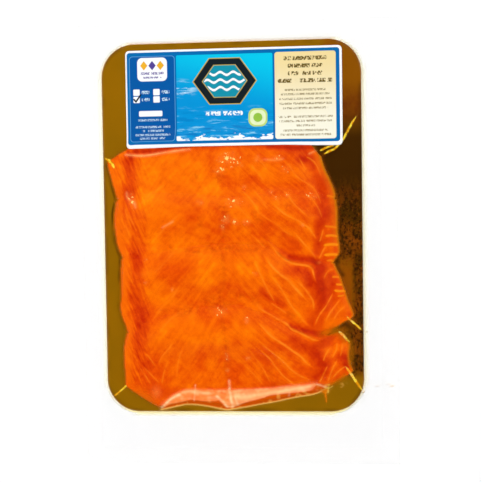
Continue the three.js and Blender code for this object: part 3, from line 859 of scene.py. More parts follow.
def fish_material():
    g = Graph("fish_flesh")
    place = g.place()
    # Fibres run along the muscle, so they are read from places that are bent as its blocks are.
    bent = g.joined(g.attribute("across"), g.attribute("along"))
    fibres = g.raw_noise(g.scaled(bent, (0.05, 0.3, 1.0)), 1.0, 5.0, 0.6)
    fibres = g.times(g.centred(fibres, 1.3), g.attribute("grain"))
    slanted = g.joined(g.dot(place, (1.0, 0.38, 0.0)), g.dot(place, (0.0, 0.14, 0.0)))
    streaks = g.times(g.centred(g.noise(slanted, 1.6, 3.0, 0.6), 0.8), g.attribute("streaked"))
    coarse = g.centred(g.noise(place, 12, 4.0, 0.6), 0.8)
    fine = g.centred(g.noise(place, 3.2, 4.0, 0.62), 0.36)
    tone = g.plus(g.attribute("tone"), fibres, streaks, coarse, fine)
    # Thin lines where one flake ends and the next starts.
    flakes = g.math("ABSOLUTE", g.minus(g.noise(place, 9, 3.0, 0.6), 0.5))
    flakes = g.times(g.step(flakes, 0.02, 0.0), g.step(g.noise(place, 5, 2.0), 0.45, 0.6))
    tone = g.minus(tone, g.times(flakes, 0.07))
    breakup = g.plus(g.centred(g.noise(place, 6, 4.0, 0.62), 1.2), g.times(g.plus(fibres, streaks), 0.45))
    # Red bands in the flesh, with painted shadow under the label's foot and above two lap ridges.
    red = g.times(g.attribute("red"), g.plus(breakup, 1.0))
    tone = g.minus(tone, g.times(red, 0.42))
    fat = g.attribute("fat")
    fat_off = g.plus(g.attribute("fat_off"), g.centred(g.noise(place, 3, 3.0, 0.6), 1.2))
    tone = g.plus(tone, g.times(g.step(fat_off, 3.6, 0.6), fat, 0.12))
    colour = g.mix(g.attribute("rim_left"), flesh_ramp(g, tone), RIM_LEFT)
    # Dark spots in the flesh, and painted shade along the laps between slices.
    blotches = g.step(g.noise(place, 2.8, 3.0, 0.6), 0.32, 0.7)
    colour = g.mix(g.times(g.attribute("spots_and_lap_shade"), blotches), colour, DARK_SPOT_AND_SHADE_RED)
    colour = g.mix(g.attribute("rim_right"), colour, RIM_RIGHT)
    breaks = g.step(g.noise(place, 7, 2.0), 0.3, 0.52)
    seam = g.times(g.step(fat_off, 1.15, 0.15), fat, g.plus(g.times(breaks, 0.45), 0.35))
    colour = g.mix(seam, colour, PALE_LINE)
    stripe = g.times(g.step(g.attribute("stripe_off"), 1.4, 0.3), g.attribute("stripe"))
    colour = g.mix(stripe, colour, BRIGHT_STRIPE)
    grain = g.plus(g.noise(place, 1.4, 3.0), g.times(seam, 0.6))
    return g.finish(g.node("BsdfPrincipled", {
        "Base Color": colour,
        "Roughness": g.between(g.noise(place, 3), 0.36, 0.52),
        "Specular IOR Level": 0.05,
        "Normal": g.bump(grain, 0.15, 0.6),
    }))


GOLD = under_film(150, 101, 2)
GOLD_FOOT = under_film(126, 88, 2)
AMBER = under_film(140, 80, 2)
RUDDY = under_film(108, 50, 5)
BROWN = under_film(56, 27, 1)
REFLECTED_RED_BROWN = under_film(122, 56, 4)
REFLECTED_BRIGHT_BROWN = under_film(148, 68, 2)
REFLECTED_DARK_STREAK = under_film(42, 18, 2)
COPPER_GLINT = under_film(150, 72, 20)
FOIL_SHADE = under_film(52, 26, 2)
FOIL_GAIN = (1.55, 1.55, 1.55)  # what the foil's metal share needs in a dim studio


def foil_material():
    g = Graph("gold_foil")
    place = g.place()
    drawn_out = g.scaled(place, (1.0, 0.3, 1.0))
    crackled = g.scaled(place, (1.0, 0.7, 1.0))
    # Painted reflection: on the right the foil is painted dark, mottled, brown and amber where it mirrors
    # dark surroundings.
    mottled_reflection = g.attribute("mottled_reflection")
    tint = g.step(g.noise(place, 30, 2.0), 0.3, 0.7)
    colour = g.mix(g.times(tint, 0.35), GOLD, GOLD_FOOT)
    reflection_patches = g.step(g.noise(g.scaled(place, (1.0, 0.55, 1.0)), 6, 4.0, 0.68), 0.36, 0.58)
    colour = g.mix(g.times(mottled_reflection, 0.9), colour, g.mix(reflection_patches, REFLECTED_RED_BROWN, BROWN))
    dark_streaks = g.step(g.noise(crackled, 1.5, 5.0, 0.72), 0.5, 0.57)
    colour = g.mix(g.times(dark_streaks, mottled_reflection, 0.85), colour, REFLECTED_DARK_STREAK)
    glints = g.step(g.noise(crackled, 1.3, 4.0, 0.7), 0.57, 0.66)
    colour = g.mix(g.times(glints, mottled_reflection, 0.7), colour, COPPER_GLINT)
    flushed = g.times(g.noise(crackled, 5, 4.0, 0.68), 1.5, g.attribute("ruddy"))
    colour = g.mix(g.attribute("amber_reflection"), colour, g.mix(flushed, AMBER, RUDDY))
    colour = g.mix(g.times(g.attribute("brown_reflection"), 0.8), colour, REFLECTED_BRIGHT_BROWN)
    # Painted reflection: the dark field paints the foil beside the upper right of the fish dark brown.
    colour = g.mix(g.attribute("dark"), colour, BROWN)
    scuffs = g.step(g.noise(drawn_out, 2.4, 5.0, 0.75), 0.64, 0.74)
    colour = g.mix(g.times(scuffs, 0.5), colour, BROWN)
    colour = g.mix(g.attribute("shade"), colour, FOIL_SHADE)
    crumple = g.plus(g.noise(place, 6, 3.0), g.times(g.noise(drawn_out, 1.5, 3.0), 0.3))
    return g.finish(g.node("BsdfPrincipled", {
        "Base Color": g.scaled(colour, FOIL_GAIN),
        "Metallic": 0.5,
        "Specular IOR Level": 0.1,
        "Roughness": g.between(g.noise(place, 8, 3.0), 0.36, 0.5),
        "Normal": g.bump(crumple, 0.25, 0.5),
    }))


def card_edge_material():
    g = Graph("card_edge")
    fibres = g.noise(g.scaled(g.place(), (1.0, 1.0, 8.0)), 0.8, 4.0)
    colour = g.mix(fibres, shown(255, 252, 230, WET_LEVEL), shown(255, 246, 206, WET_LEVEL))
    return g.finish(g.node("BsdfPrincipled", {
        "Base Color": colour, "Roughness": 0.8, "Normal": g.bump(fibres, 0.1),
    }))


HAZE_WHITE = (0.88, 0.87, 0.84)


def film_material():
    """Clear film: it mirrors as plastic does, with haze where it is folded, bridged or blistered, and
    painted highlights, reflections and shade laid on it.
    """
    g = Graph("clear_film")
    place = g.place()
    ripples = g.plus(g.noise(place, 5, 2.0), g.times(g.noise(place, 1.4, 2.0), 0.2))
    normal = g.bump(ripples, 0.1, 0.5)
    mirror = g.node("BsdfGlossy", {"Color": (1, 0.9, 0.74, 1), "Roughness": 0.14, "Normal": normal})
    clear = g.node("BsdfTransparent", {"Color": (0.985, 0.985, 0.985, 1)})
    facing = g.node("LayerWeight", {"Blend": 0.5, "Normal": normal}).outputs["Facing"]
    gloss = g.plus(g.times(g.math("POWER", facing, 5.0), 0.22), 0.006)
    bare = g.node("MixShader", {0: gloss, 1: clear.outputs[0], 2: mirror.outputs[0]})
    # Painted highlight: gold glints along the creases, where each fold catches the light.
    wander = g.centred(g.noise(place, 1.6, 3.0, 0.7), 1.3)
    fold = g.step(g.plus(g.attribute("fold_off"), wander), 1.1, 0.3)
    fold = g.times(fold, g.attribute("fold"))
    glints = g.step(g.noise(place, 2.6, 3.0, 0.6), 0.4, 0.62)
    gilt = g.mix(glints, shown(226, 146, 10), shown(255, 222, 60))
    pale_gilt = g.mix(glints, shown(255, 164, 36), shown(255, 218, 110))
    gilt = g.mix(g.attribute("pale"), gilt, pale_gilt)
    colour = g.mix(g.step(fold, 0.0, 0.12), g.attribute("haze_and_painted_light", "Color"), gilt)
    share = g.math("MAXIMUM", fold, g.attribute("haze_and_painted_light", "Alpha"))
    # Painted highlights: specks where small blisters of air catch the light.
    blister = g.attribute("blister")
    speck = g.plus(g.noise(place, 1.9, 3.0, 0.62), g.times(blister, 0.16))
    speck = g.times(g.step(speck, 0.66, 0.73), g.step(blister, 0.04, 0.25))
    colour = g.mix(speck, colour, shown(255, 218, 122, WET_LEVEL))
    share = g.math("MAXIMUM", share, g.times(speck, 0.92))
    veil = g.node("BsdfPrincipled", {
        "Base Color": colour, "Roughness": 0.5, "Specular IOR Level": 0.02, "Normal": normal,
    })
    return g.finish(g.node("MixShader", {0: share, 1: bare.outputs[0], 2: veil.outputs[0]}))


# ---- Label print ----
PRINT_BLUR = 0.12  # how soft the edge of a printed shape is, in millimetres


class Print(Graph):
    """A graph that paints simple shapes at places in millimetres from the card's centre."""

    def __init__(self, name):
        super().__init__(name)
        self.at = self.node("UVMap", uv_map="label_mm").outputs[0]
        self.x, self.y, _ = self.node("SeparateXYZ", {0: self.at}).outputs
        self.colour = shown(255, 255, 255)

    def rounded_box(self, x0, x1, y0, y1, radius):
        """The distance outside a box with round corners, negative inside."""
        half = ((x1 - x0) / 2 - radius, (y1 - y0) / 2 - radius, 0)
        centre = ((x0 + x1) / 2, (y0 + y1) / 2, 0)
        past = self.vector("MAXIMUM", self.vector("SUBTRACT", self.off(self.at, centre), half), (0, 0, 0))
        return self.minus(self.length(past), radius)

    def disc(self, x, y, radius_x, radius_y):
        off = self.vector("DIVIDE", self.vector("SUBTRACT", self.at, (x, y, 0)), (radius_x, radius_y, 1))
        return self.times(self.minus(self.length(off), 1.0), radius_y)

    def hexagon(self, x, y, size):
        """The distance outside a hexagon that is wider than it is high."""
        off = self.off(self.at, (x, y, 0))
        past = self.math("MAXIMUM", self.dot(off, (0.86, 0.62, 0)), self.dot(off, (0, 1.2, 0)))
        return self.minus(past, size)

    def lozenge(self, x, y, size):
        return self.minus(self.dot(self.off(self.at, (x, y, 0)), (1.0, 0.8, 0)), size)

    def stroke(self, start, end, half_width):
        """The distance outside a straight stroke between two places."""
        dx, dy = end[0] - start[0], end[1] - start[1]
        off = self.vector("SUBTRACT", self.at, (start[0], start[1], 0))
        along = self.math("DIVIDE", self.dot(off, (dx, dy, 0)), dx * dx + dy * dy)
        share = self.node("Clamp", {0: along}).outputs[0]
        foot = self.node("VectorMath", {0: (dx, dy, 0), 3: share}, operation="SCALE").outputs[0]
        return self.minus(self.length(self.vector("SUBTRACT", off, foot)), half_width)

    def paint(self, colour, *shares):
        """Lays a colour over the print, as far as all the shares say."""
        self.colour = self.mix(self.times(*shares), self.colour, colour)

    def inside(self, distance, softness=PRINT_BLUR):
        return self.step(distance, softness, -softness)

    def fill(self, distance, colour):
        self.paint(colour, self.inside(distance))

    def waves(self, distance_mm, height_mm):
        return self.times(self.math("SINE", self.times(self.x, 1 / distance_mm)), height_mm)

    def words(self, x, half, y, height, colour, seed, share=1.0):
        """A line of print too small to read: a bar broken into lengths like words."""
        bar = self.rounded_box(x - half, x + half, y - height / 2, y + height / 2, height * 0.3)
        column = self.times(self.x, 1 / height)
        row = self.times(self.y, 0.8 / height)
        spread = self.raw_noise(self.joined(column, seed * 7.31), 0.3, 0.0)
        beat = self.math("FRACT", self.plus(self.times(column, 0.2), self.times(spread, 1.6)))
        gaps = self.step(self.math("ABSOLUTE", self.minus(beat, 0.5)), 0.46, 0.42)
        letters = self.step(self.raw_noise(self.joined(column, row, seed * 3.7), 2.7, 1.0), 0.4, 0.52)
        self.paint(colour, self.inside(bar), gaps, letters, share)


LABEL_BLUE = shown(0, 106, 176)
PANEL_BLUE = shown(0, 88, 164)
PANEL_LINE = shown(92, 160, 214)
CYAN = shown(0, 202, 238)
SEA_BLUE = shown(0, 148, 216)
DEEP_SEA = shown(0, 112, 188)
CREST = shown(150, 218, 244)
FAR_CREST = shown(206, 240, 252)
CREAM = shown(243, 220, 158)
CREAM_FOOT = shown(250, 246, 226)
WHITE_PRINT = shown(250, 252, 255)
SEA_WHITE = shown(250, 253, 255)
INK = shown(112, 92, 40)
SMALL_INK = shown(150, 132, 84)
PALE_INK = shown(196, 222, 240)
BLACK_INK = shown(12, 14, 20)
VIOLET = shown(86, 68, 150)
YELLOW = shown(240, 178, 40)
GILT = shown(196, 168, 88)
PLAQUE = shown(22, 32, 38)
PLAQUE_SEA = shown(20, 146, 170)
STAMP_RIM = shown(196, 222, 120)
STAMP = shown(232, 244, 196)
STAMP_DOT = shown(150, 196, 70)


def label_material():
    p = Print("label_print")
    p.fill(p.rounded_box(-55.9, 58.5, 45.5, 95.3, 1.6), LABEL_BLUE)
    paint_left_panel(p)
    paint_middle_panel(p)
    paint_right_panel(p)
    place = p.place()
    return p.finish(p.node("BsdfPrincipled", {
        "Base Color": p.colour,
        "Roughness": p.between(p.noise(place, 5), 0.3, 0.42),
        "Specular IOR Level": 0.12,
        "Normal": p.bump(p.noise(place, 7, 2.0), 0.15, 0.4),
    }))


def paint_left_panel(p):
    p.fill(p.rounded_box(-54.6, -29.8, 47.1, 93.3, 1.8), PANEL_LINE)
    p.fill(p.rounded_box(-54.3, -30.1, 47.4, 93.0, 1.6), PANEL_BLUE)
    middle = -42.1
    # A plain badge with a row of three lozenges over two bars.
    p.fill(p.rounded_box(-50.2, -34.0, 79.8, 92.4, 2.6), WHITE_PRINT)
    for x, colour in ((middle - 4.5, YELLOW), (middle, VIOLET), (middle + 4.5, YELLOW)):
        p.fill(p.lozenge(x, 88.2, 2.0), colour)
    p.words(middle, 6.3, 84.0, 1.3, VIOLET, 1)
    p.words(middle, 4.9, 81.8, 1.0, VIOLET, 2)
    for x in (-52.6, -41.7):
        for y in (72.2, 68.3):
            p.fill(p.rounded_box(x, x + 3.5, y, y + 3.4, 0.5), WHITE_PRINT)
            p.words(x + 6.7, 2.1, y + 1.7, 1.7, PALE_INK, x + y)
    tick = (-51.2, 69.0)
    for end in ((-52.3, 70.2), (-48.6, 72.6)):
        p.fill(p.stroke(tick, end, 0.42), BLACK_INK)
    p.fill(p.rounded_box(-49.7, -36.9, 60.9, 63.9, 0.7), WHITE_PRINT)
    lines = ((58.9, 8.0), (55.2, 9.5), (53.1, 6.0), (50.9, 9.6), (48.9, 7.0))
    for row, (y, half) in enumerate(lines):
        p.words(-42.2, half, y, 1.15, PALE_INK, 20 + row, 0.85)


def paint_middle_panel(p):
    panel = p.rounded_box(-29.0, 22.9, 47.1, 93.3, 0.8)
    depth = p.step(p.plus(p.y, p.times(p.x, 0.2)), 98.0, 62.0)
    p.fill(panel, p.mix(depth, CYAN, SEA_BLUE))
    inside = p.inside(panel, 0.1)
    # Rows of low waves, paler and closer towards the foot of the panel.
    ripple = p.raw_noise(p.scaled(p.at, (0.07, 0.5, 1.0)), 1.0, 5.0, 0.65)
    low = p.step(p.y, 70.0, 50.0)
    p.paint(DEEP_SEA, p.step(ripple, 0.48, 0.38), low, inside, 0.7)
    p.paint(CREST, p.step(ripple, 0.55, 0.63), low, inside, 0.75)
    far_off = p.step(p.disc(-28, 75.5, 13, 6), 0.0, -4.0)
    p.paint(FAR_CREST, far_off, p.step(ripple, 0.5, 0.58), inside, 0.85)
    rough = p.raw_noise(p.scaled(p.at, (0.3, 0.7, 1.0)), 1.0, 4.0)
    foam = p.minus(p.minus(p.y, 48.6), p.waves(1 / 0.36, 1.0))
    p.paint(SEA_WHITE, p.inside(p.plus(foam, p.centred(rough, 9.0)), 0.3), inside)
    # A six-sided plaque with a gilt rim round three plain waves.
    x, y = -2.9, 78.9
    for size, colour in ((15.0, GILT), (14.4, PLAQUE), (10.6, GILT), (10.1, PLAQUE_SEA)):
        p.fill(p.hexagon(x, y, size), colour)
    field = p.inside(p.hexagon(x, y, 9.6), 0.1)
    sway = p.waves(1 / 0.9, 0.8)
    for level in (75.0, 79.0, 83.0):
        band = p.minus(p.math("ABSOLUTE", p.minus(p.minus(p.y, level), sway)), 0.65)
        p.paint(SEA_WHITE, p.inside(band, 0.15), field)
    p.words(-3.4, 10.0, 61.7, 2.2, SEA_WHITE, 31)
    # A round-cornered stamp with a dot.
    p.fill(p.rounded_box(9.6, 19.8, 54.2, 64.0, 3.6), STAMP_RIM)
    p.fill(p.rounded_box(10.5, 18.9, 55.1, 63.1, 3.0), STAMP)
    p.fill(p.disc(14.7, 59.1, 2.4, 2.4), STAMP_DOT)


def paint_right_panel(p):
    fade = p.step(p.y, 93.0, 52.0)
    p.fill(p.rounded_box(24.0, 56.5, 47.1, 93.6, 1.4), p.mix(fade, CREAM, CREAM_FOOT))
    middle = 40.2
    large = ((90.1, 11.4), (86.1, 9.2), (82.1, 9.2), (78.2, 14.6))
    for row, (y, half) in enumerate(large):
        p.words(middle, half, y, 2.1, INK, 40 + row)
    small = (
        (73.3, 11), (71.0, 13), (68.5, 14), (66.0, 14), (63.6, 12), (59.0, 14.5), (56.7, 14), (54.3, 5),
        (51.7, 12), (49.4, 13.5),
    )
    for row, (y, half) in enumerate(small):
        p.words(middle, half, y, 1.1, SMALL_INK, 60 + row, 0.85)


# ---- Slices ----
SPINE = curve_through([(52, -4), (10, -2.6), (-20, -4.6), (-42, -6.4), (-65, -4), (-96, -3)])
RIGHT_FALL = curve_through([
    (0, 0), (6, 5), (12, 12), (22, 22), (32, 29.5), (40, 36), (47, 44), (53, 34), (62, 24),
])
LEFT_FALL = curve_through([(0, 0), (6, 7), (14, 19), (24, 31), (34, 41), (43, 51), (49, 43), (60, 32)])
TONE_PATCHES = [
    # amount, x, y, half width, half height
    (0.1, -38, 24, 20, 26), (0.1, 6, -18, 11, 8), (0.12, -14, -18, 9, 8), (0.12, 6, -57, 12, 6),
    (0.1, -16, -56, 12, 9), (0.08, -15, 18, 9, 6), (0.12, -38, -36, 9, 8), (-0.06, -26, 12, 12, 12),
    (-0.08, 14, 4, 10, 8), (-0.06, -40, 4, 8, 7), (-0.14, -4, 4, 7, 9), (-0.13, 14, -48, 20, 22),
    (-0.12, 26, -72, 16, 12), (0.1, -12, 36, 20, 8), (0.12, 46, 34, 8, 10), (0.1, 27, 10, 9, 6),
    (0.06, -40, -12, 7, 5), (-0.08, -20, 41, 10, 5), (-0.07, -27, 0, 6, 5), (-0.06, -27, -43, 6, 6),
    (-0.05, 34, -77, 7, 5), (0.14, 44, -66, 22, 20), (0.06, 34, -44, 12, 10), (-0.1, -52, 36, 8, 8),
]


def inside_side(slices, side):
    """How far each lattice point lies inside that side of the fish, whichever slice it is in."""
    return np.maximum.reduce([np.where(item.inside, item.inset[side], -1e3) for item in slices])


def flesh_fields(slices):
    """What the flesh material reads, as fields on the lattice."""
    side = X - SPINE(Y)
    fall = np.where(side > 0, RIGHT_FALL(np.abs(side)), LEFT_FALL(np.abs(side)))
    fat_off, fat = thin_lines(FAT_LINES + LAP_RIDGES)
    stripe_off, stripe = thin_lines(STRIPES)
    tone = 0.66 - 0.08 * smoothstep(X, 6, 44)
    # Darker towards the foot end; the last term is painted shadow of the label on the flesh just below its
    # foot.
    tone -= 0.08 * smoothstep(Y, -56, -78) + 0.05 * smoothstep(Y, 30, 38)
    for amount, *patch in TONE_PATCHES:
        tone += amount * bump_at(*patch)
    from_left, from_right = inside_side(slices, "left"), inside_side(slices, "right")
    rim_right = 0.3 * smoothstep(from_right, 5, 1) * smoothstep(Y, -14, -4)
    return {
        "across": np.abs(side),
        "along": Y + fall,
        "fat_off": fat_off,
        "fat": fat,
        "stripe_off": stripe_off,
        "stripe": stripe,
        "tone": tone,
        "red": np.clip(along_paths(RED_BANDS_AND_SHADOWS), 0, 1),
        "grain": (0.3 + 0.12 * smoothstep(X, -4, 16)) * smoothstep(X, 47, 36),
        "streaked": smoothstep(X, -40, -50),
        "spots_and_lap_shade": np.clip(along_paths(DARK_SPOTS_AND_LAP_SHADE), 0, 1),
        "rim_left": 0.7 * smoothstep(from_left, 5.5, 2.0),
        "rim_right": 0.85 * smoothstep(from_right, 1.9, 0.3) + rim_right,
    }


def make_slice(item, fields, material):
    grid = (232, 110)
    x, y = (places.ravel() for places in item.places(*grid))
    top, under = sample(item.top, x, y), sample(item.under, x, y)
    attributes = {key: np.tile(sample(field, x, y), 2) for key, field in fields.items()}
    make_plate("fish_" + item.name, grid, x, y, top, under, material, item.name, attributes)


# ---- Front film ----
class HazeAndPaintedLight:
    """The film's haze and the light and shade painted on it, over the lattice: its colour, and the share of
    what lies under it that it hides.
    """

    def __init__(self):
        self.colour = np.full(X.shape + (3,), HAZE_WHITE)
        self.amount = np.zeros(X.shape)

    def lay(self, amount, tone):
        """Lays a layer of a base colour over what there is."""
        amount = np.clip(amount, 0, 1)
        total = 1 - (1 - self.amount) * (1 - amount)
        share = np.where(total > 1e-6, amount / np.maximum(total, 1e-6), 0)[..., None]
        self.colour = self.colour * (1 - share) + np.array(tone) * share
        self.amount = total

    def add(self, amount, seen, level=WHITE_LEVEL):
        """Lays a layer that comes out as the colour seen, 0 to 255."""
        self.lay(amount, shown(*seen, level)[:3])

    def fields(self):
        """Its colours, carried on past its ends so that none fades by way of white, and its amount."""
        weight = blur(self.amount, 0.8) + 1e-5
        colours = []
        for k, white in enumerate(HAZE_WHITE):
            own = self.colour[..., k]
            carried = (blur(own * self.amount, 0.8) + 1e-5 * white) / weight
            colours.append(np.where(self.amount > 0.25, own, carried))
        return [*colours, self.amount]


def painted_light_and_shade_beside_fish(haze_and_painted_light, sheet, slices):
    # Painted reflection: where the film falls steeply it is painted the colour of the flesh and the foil
    # beside it.
    rise, run = np.gradient(sheet, STEP)
    steep = smoothstep(np.hypot(rise, run), 0.6, 1.5)
    haze_and_painted_light.add(0.75 * steep * smoothstep(X, 30, 10), (206, 100, 6))
    haze_and_painted_light.add(0.75 * steep * smoothstep(X, 10, 30), (176, 92, 6))
    # Painted shadow: a thin dark line where it meets the card.
    below = smoothstep(Y, 38, 34)
    sides = (
        ("left", 0.85, (58, 42, 0), below * smoothstep(Y, -32, -24)),
        ("right", 0.6, (72, 32, 4), below * smoothstep(Y, -17, -12)),
    )
    for side, gain, seen, where in sides:
        off_fish = -np.maximum.reduce([
            np.where((item.inset["foot"] > 0) & (item.inset["head"] > 0), item.inset[side], -1e3)
            for item in slices
        ])
        line = np.exp(-((off_fish - 1.0 - 0.35 * noise(6)) / 0.32) ** 2)
        line = line * np.clip(0.9 + 0.8 * noise(8), 0, 1)
        haze_and_painted_light.add(gain * line * where, seen)


def haze_and_painted_light_at_foot(haze_and_painted_light):
    """Film bridges from the last slice's edge to the card; the front light that it mirrors there is painted
    on it as a bright band.
    """
    head = curve_through(BAND_HEAD)(X)
    foot = curve_through(BAND_FOOT)(X)
    line = curve_through(FOOT_LINE)(X)
    streaks = noise(1.3) + noise(3.5)
    # Under the bright band it lies wet on the flesh, painted flesh orange with painted highlights in
    # streaks.
    wet = smoothstep(Y, line - 0.1, line + 0.3) * smoothstep(Y, foot + 0.8, foot - 0.4)
    wet = wet * smoothstep(X, -41, -39)
    haze_and_painted_light.add(0.92 * wet * smoothstep(X, 51, 49), (216, 84, 0))
    haze_and_painted_light.add(0.4 * wet * smoothstep(streaks, 0.5, 1.1), (255, 190, 80))
    corner = smoothstep(Y + 86.4 + 0.67 * (X + 58), -1.6, -0.2) * bump_at(-49, -92.5, 9, 4.5, -34)
    haze_and_painted_light.add(0.8 * corner, (230, 106, 8))
    # Painted reflection of the front light: the bright band, with painted highlights in brushed streaks and
    # glints.
    span = smoothstep(X, -40.6, -38) * smoothstep(X, 46, 43)
    band = smoothstep(Y, head + 0.3, head - 2.0) * smoothstep(Y, foot - 0.3, foot + 0.5) * span
    brushed = blur(rng.standard_normal(X.shape), 0.5)
    for _ in range(3):
        brushed = sum(np.roll(brushed, shift, 1) for shift in (3, -3, 1, -1)) / 4
    brushed = brushed / brushed.std()
    paler = smoothstep(X, -4, 2)[..., None]
    left, right = (np.array(shown(*seen, WET_LEVEL)[:3]) for seen in ((255, 142, 68), (255, 166, 102)))
    haze_and_painted_light.lay(band * np.clip(0.86 + 0.08 * streaks, 0, 1), left * (1 - paler) + right * paler)
    haze_and_painted_light.add(band * np.clip(0.02 + 0.1 * brushed + 0.18 * streaks, 0, 0.6), (255, 208, 150), GLINT_LEVEL)
    haze_and_painted_light.add(0.6 * band * along_paths(BAND_GLINTS), (255, 210, 148), GLINT_LEVEL)
    haze_and_painted_light.add(0.5 * along_paths(BAND_BLUSH) * smoothstep(X, 47, 45), (236, 92, 30))
    # Painted highlights on the folds and along the foot line, and the spike's tints and painted glints.
    folds = np.clip(along_paths(FOOT_FOLDS), 0, 1) * np.clip(0.8 + 0.35 * streaks, 0.25, 1.2)
    haze_and_painted_light.add(0.75 * folds, (255, 222, 166), GLINT_LEVEL)
    haze_and_painted_light.add(0.9 * along_paths([(1.0, 0.36, FOOT_LINE)]), (250, 196, 96))
    haze_and_painted_light.add(along_paths(SPIKE_TINTS), (222, 120, 10))
    haze_and_painted_light.add(0.85 * along_paths(SPIKE_GLINTS), (255, 218, 90))


def corner_haze_and_shoulder_glints(haze_and_painted_light):
    """Film bridges the notches between the slices and the corners of the last one, and painted highlights
    run along the slices' shoulders.
    """
    haze_and_painted_light.add(0.55 * along_paths(NOTCH_FILM), (188, 108, 6))
    haze_and_painted_light.add(0.9 * bump_at(50.4, -56.4, 4.4, 1.9, 12), (208, 98, 2))
    haze_and_painted_light.add(0.6 * bump_at(54.6, -55.4, 2.6, 1.6, 20), (150, 92, 4))
    haze_and_painted_light.add(0.7 * along_paths(LAST_CORNER_FILM), (190, 112, 4))
    haze_and_painted_light.add(0.5 * bump_at(-42.4, -88.6, 2.4, 3.0), (255, 134, 52))
    haze_and_painted_light.add(1.3 * along_paths(SHOULDER_GLINTS) * (0.8 + 0.3 * noise(3)), (255, 178, 104), WET_LEVEL)


def painted_highlights_and_pouch_haze(haze_and_painted_light):
    """Painted highlights where the film rolls over the card's edge and over blisters and bubbles, and haze
    where the pouch's own edge shows a little.
    """
    past_card = -on_card()
    rolled = smoothstep(past_card, -0.1, 0.3) * smoothstep(past_card, 1.9, 0.4)
    haze_and_painted_light.add(0.5 * rolled, (255, 250, 206), GLINT_LEVEL)
    foot_rim = smoothstep(past_card, -0.1, 0.2) * smoothstep(past_card, 1.3, 0.7)
    foot_rim = foot_rim * smoothstep(Y, -97, -99.6)
    haze_and_painted_light.add(0.9 * foot_rim, (255, 238, 158), GLINT_LEVEL)
    # Painted highlights over the blisters and the bubbles.
    haze_and_painted_light.add(0.34 * blisters(), (255, 140, 44))
    for x, y, size in BUBBLES:
        haze_and_painted_light.add(0.25 * bump_at(x, y, 0.75 * size), (255, 176, 84))
    edge = inside_pouch(X, Y)
    haze_and_painted_light.lay(0.05 * smoothstep(edge, 1.0, 0.2), HAZE_WHITE)
    haze_and_painted_light.lay(0.03 * smoothstep(edge, 9.0, 8.0), HAZE_WHITE)


def inside_pouch(x, y):
    """How far places lie inside the pouch's edge."""
    return np.minimum.reduce([x - XS[0], XS[-1] - x, y - YS[0], YS[-1] - y])


def film_haze_and_painted_light(sheet, slices):
    haze_and_painted_light = HazeAndPaintedLight()
    painted_light_and_shade_beside_fish(haze_and_painted_light, sheet, slices)
    haze_and_painted_light_at_foot(haze_and_painted_light)
    corner_haze_and_shoulder_glints(haze_and_painted_light)
    painted_highlights_and_pouch_haze(haze_and_painted_light)
    return haze_and_painted_light


def blisters():
    """Where small blisters of air lie under the film."""
    field = np.zeros(X.shape)
    for x, y, across, up, _, count in BUBBLE_GROUPS:
        amount = min(1.0, 0.5 + count / 12)
        field = np.maximum(field, amount * bump_at(x, y, 1.3 * across + 0.5, 1.3 * up + 0.5))
    return field


def spaced(stretches):
    """Places along an axis. Each stretch gives where it starts and about how far apart its places lie."""
    places = [
        np.linspace(start, end, max(1, round((end - start) / gap)), endpoint=False)
        for (start, gap), (end, _) in zip(stretches, stretches[1:])
    ]
    return np.append(np.concatenate(places), stretches[-1][0])


def make_film(sheet, slices):
    # The mesh is fine over the fish and finest at its foot, where the folds are.
    across = spaced([(XS[0], 2.0), (-71, 0.55), (71, 2.0), (XS[-1], 0)])
    along = spaced([(YS[0], 2.0), (-101, 0.3), (-80, 0.62), (45, 1.4), (100, 1.6), (YS[-1], 0)])
    x, y = (field.ravel() for field in np.meshgrid(across, along))
    haze_and_painted_light = film_haze_and_painted_light(sheet, slices).fields()
    fold_off, fold = thin_lines([(1.0, crease["width"], crease["path"]) for crease in CREASES])
    pale = along_paths([(1.0, 3.0, crease["path"][:2]) for crease in CREASES if crease.get("pale")])
    fields = {"fold_off": fold_off, "fold": fold, "blister": blisters(), "pale": pale}
    attributes = {key: sample(field, x, y) for key, field in fields.items()}
    attributes["haze_and_painted_light"] = np.column_stack([sample(field, x, y) for field in haze_and_painted_light])
    grid = (len(across) - 1, len(along) - 1)
    z = sample(sheet, x, y)
    material = film_material()
    film = make_sheet("pouch_front_film", grid, x, y, z, material, attributes, ["pouch_front"])
    film.visible_shadow = False  # haze scatters the light that it takes on down to what lies under it


def make_film_back():
    grid = (86, 120)
    x, y = np.meshgrid(np.linspace(XS[0], XS[-1], grid[0] + 1), np.linspace(YS[0], YS[-1], grid[1] + 1))
    x, y = x.ravel(), y.ravel()
    z = np.full(x.shape, 0.4 * FILM_TOP_AT_REST)
    haze_and_painted_light = np.ones((len(x), 4))
    haze_and_painted_light[:, 3] = 0.04 * smoothstep(inside_pouch(x, y), 9.0, 8.0)
    material = film_material()
    make_sheet("pouch_back_film", grid, x, y, z, material, {"haze_and_painted_light": haze_and_painted_light}, ["pouch_back"], flip=True)


# ---- Card ----
ROUND_EDGE = 0.18  # the round of the card's cut edge
FOIL_INSET = 0.1  # how much of the card its foil leaves bare all round
FOIL_LIFT = 0.02  # how high the foil's sheet lies over the card's top
NOTCH_SHADES = [
    (1.0, 1.2, [(56, -18), (56, -22), (59, -26)]),
    (1.0, 1.6, [(57, -54), (60, -52.4), (63, -54.5)]),
    (0.8, 1.0, [(49, 36), (53, 39), (58, 42)]),
    (0.9, 0.9, [(49.6, 41.2), (54, 42.9)]),
]


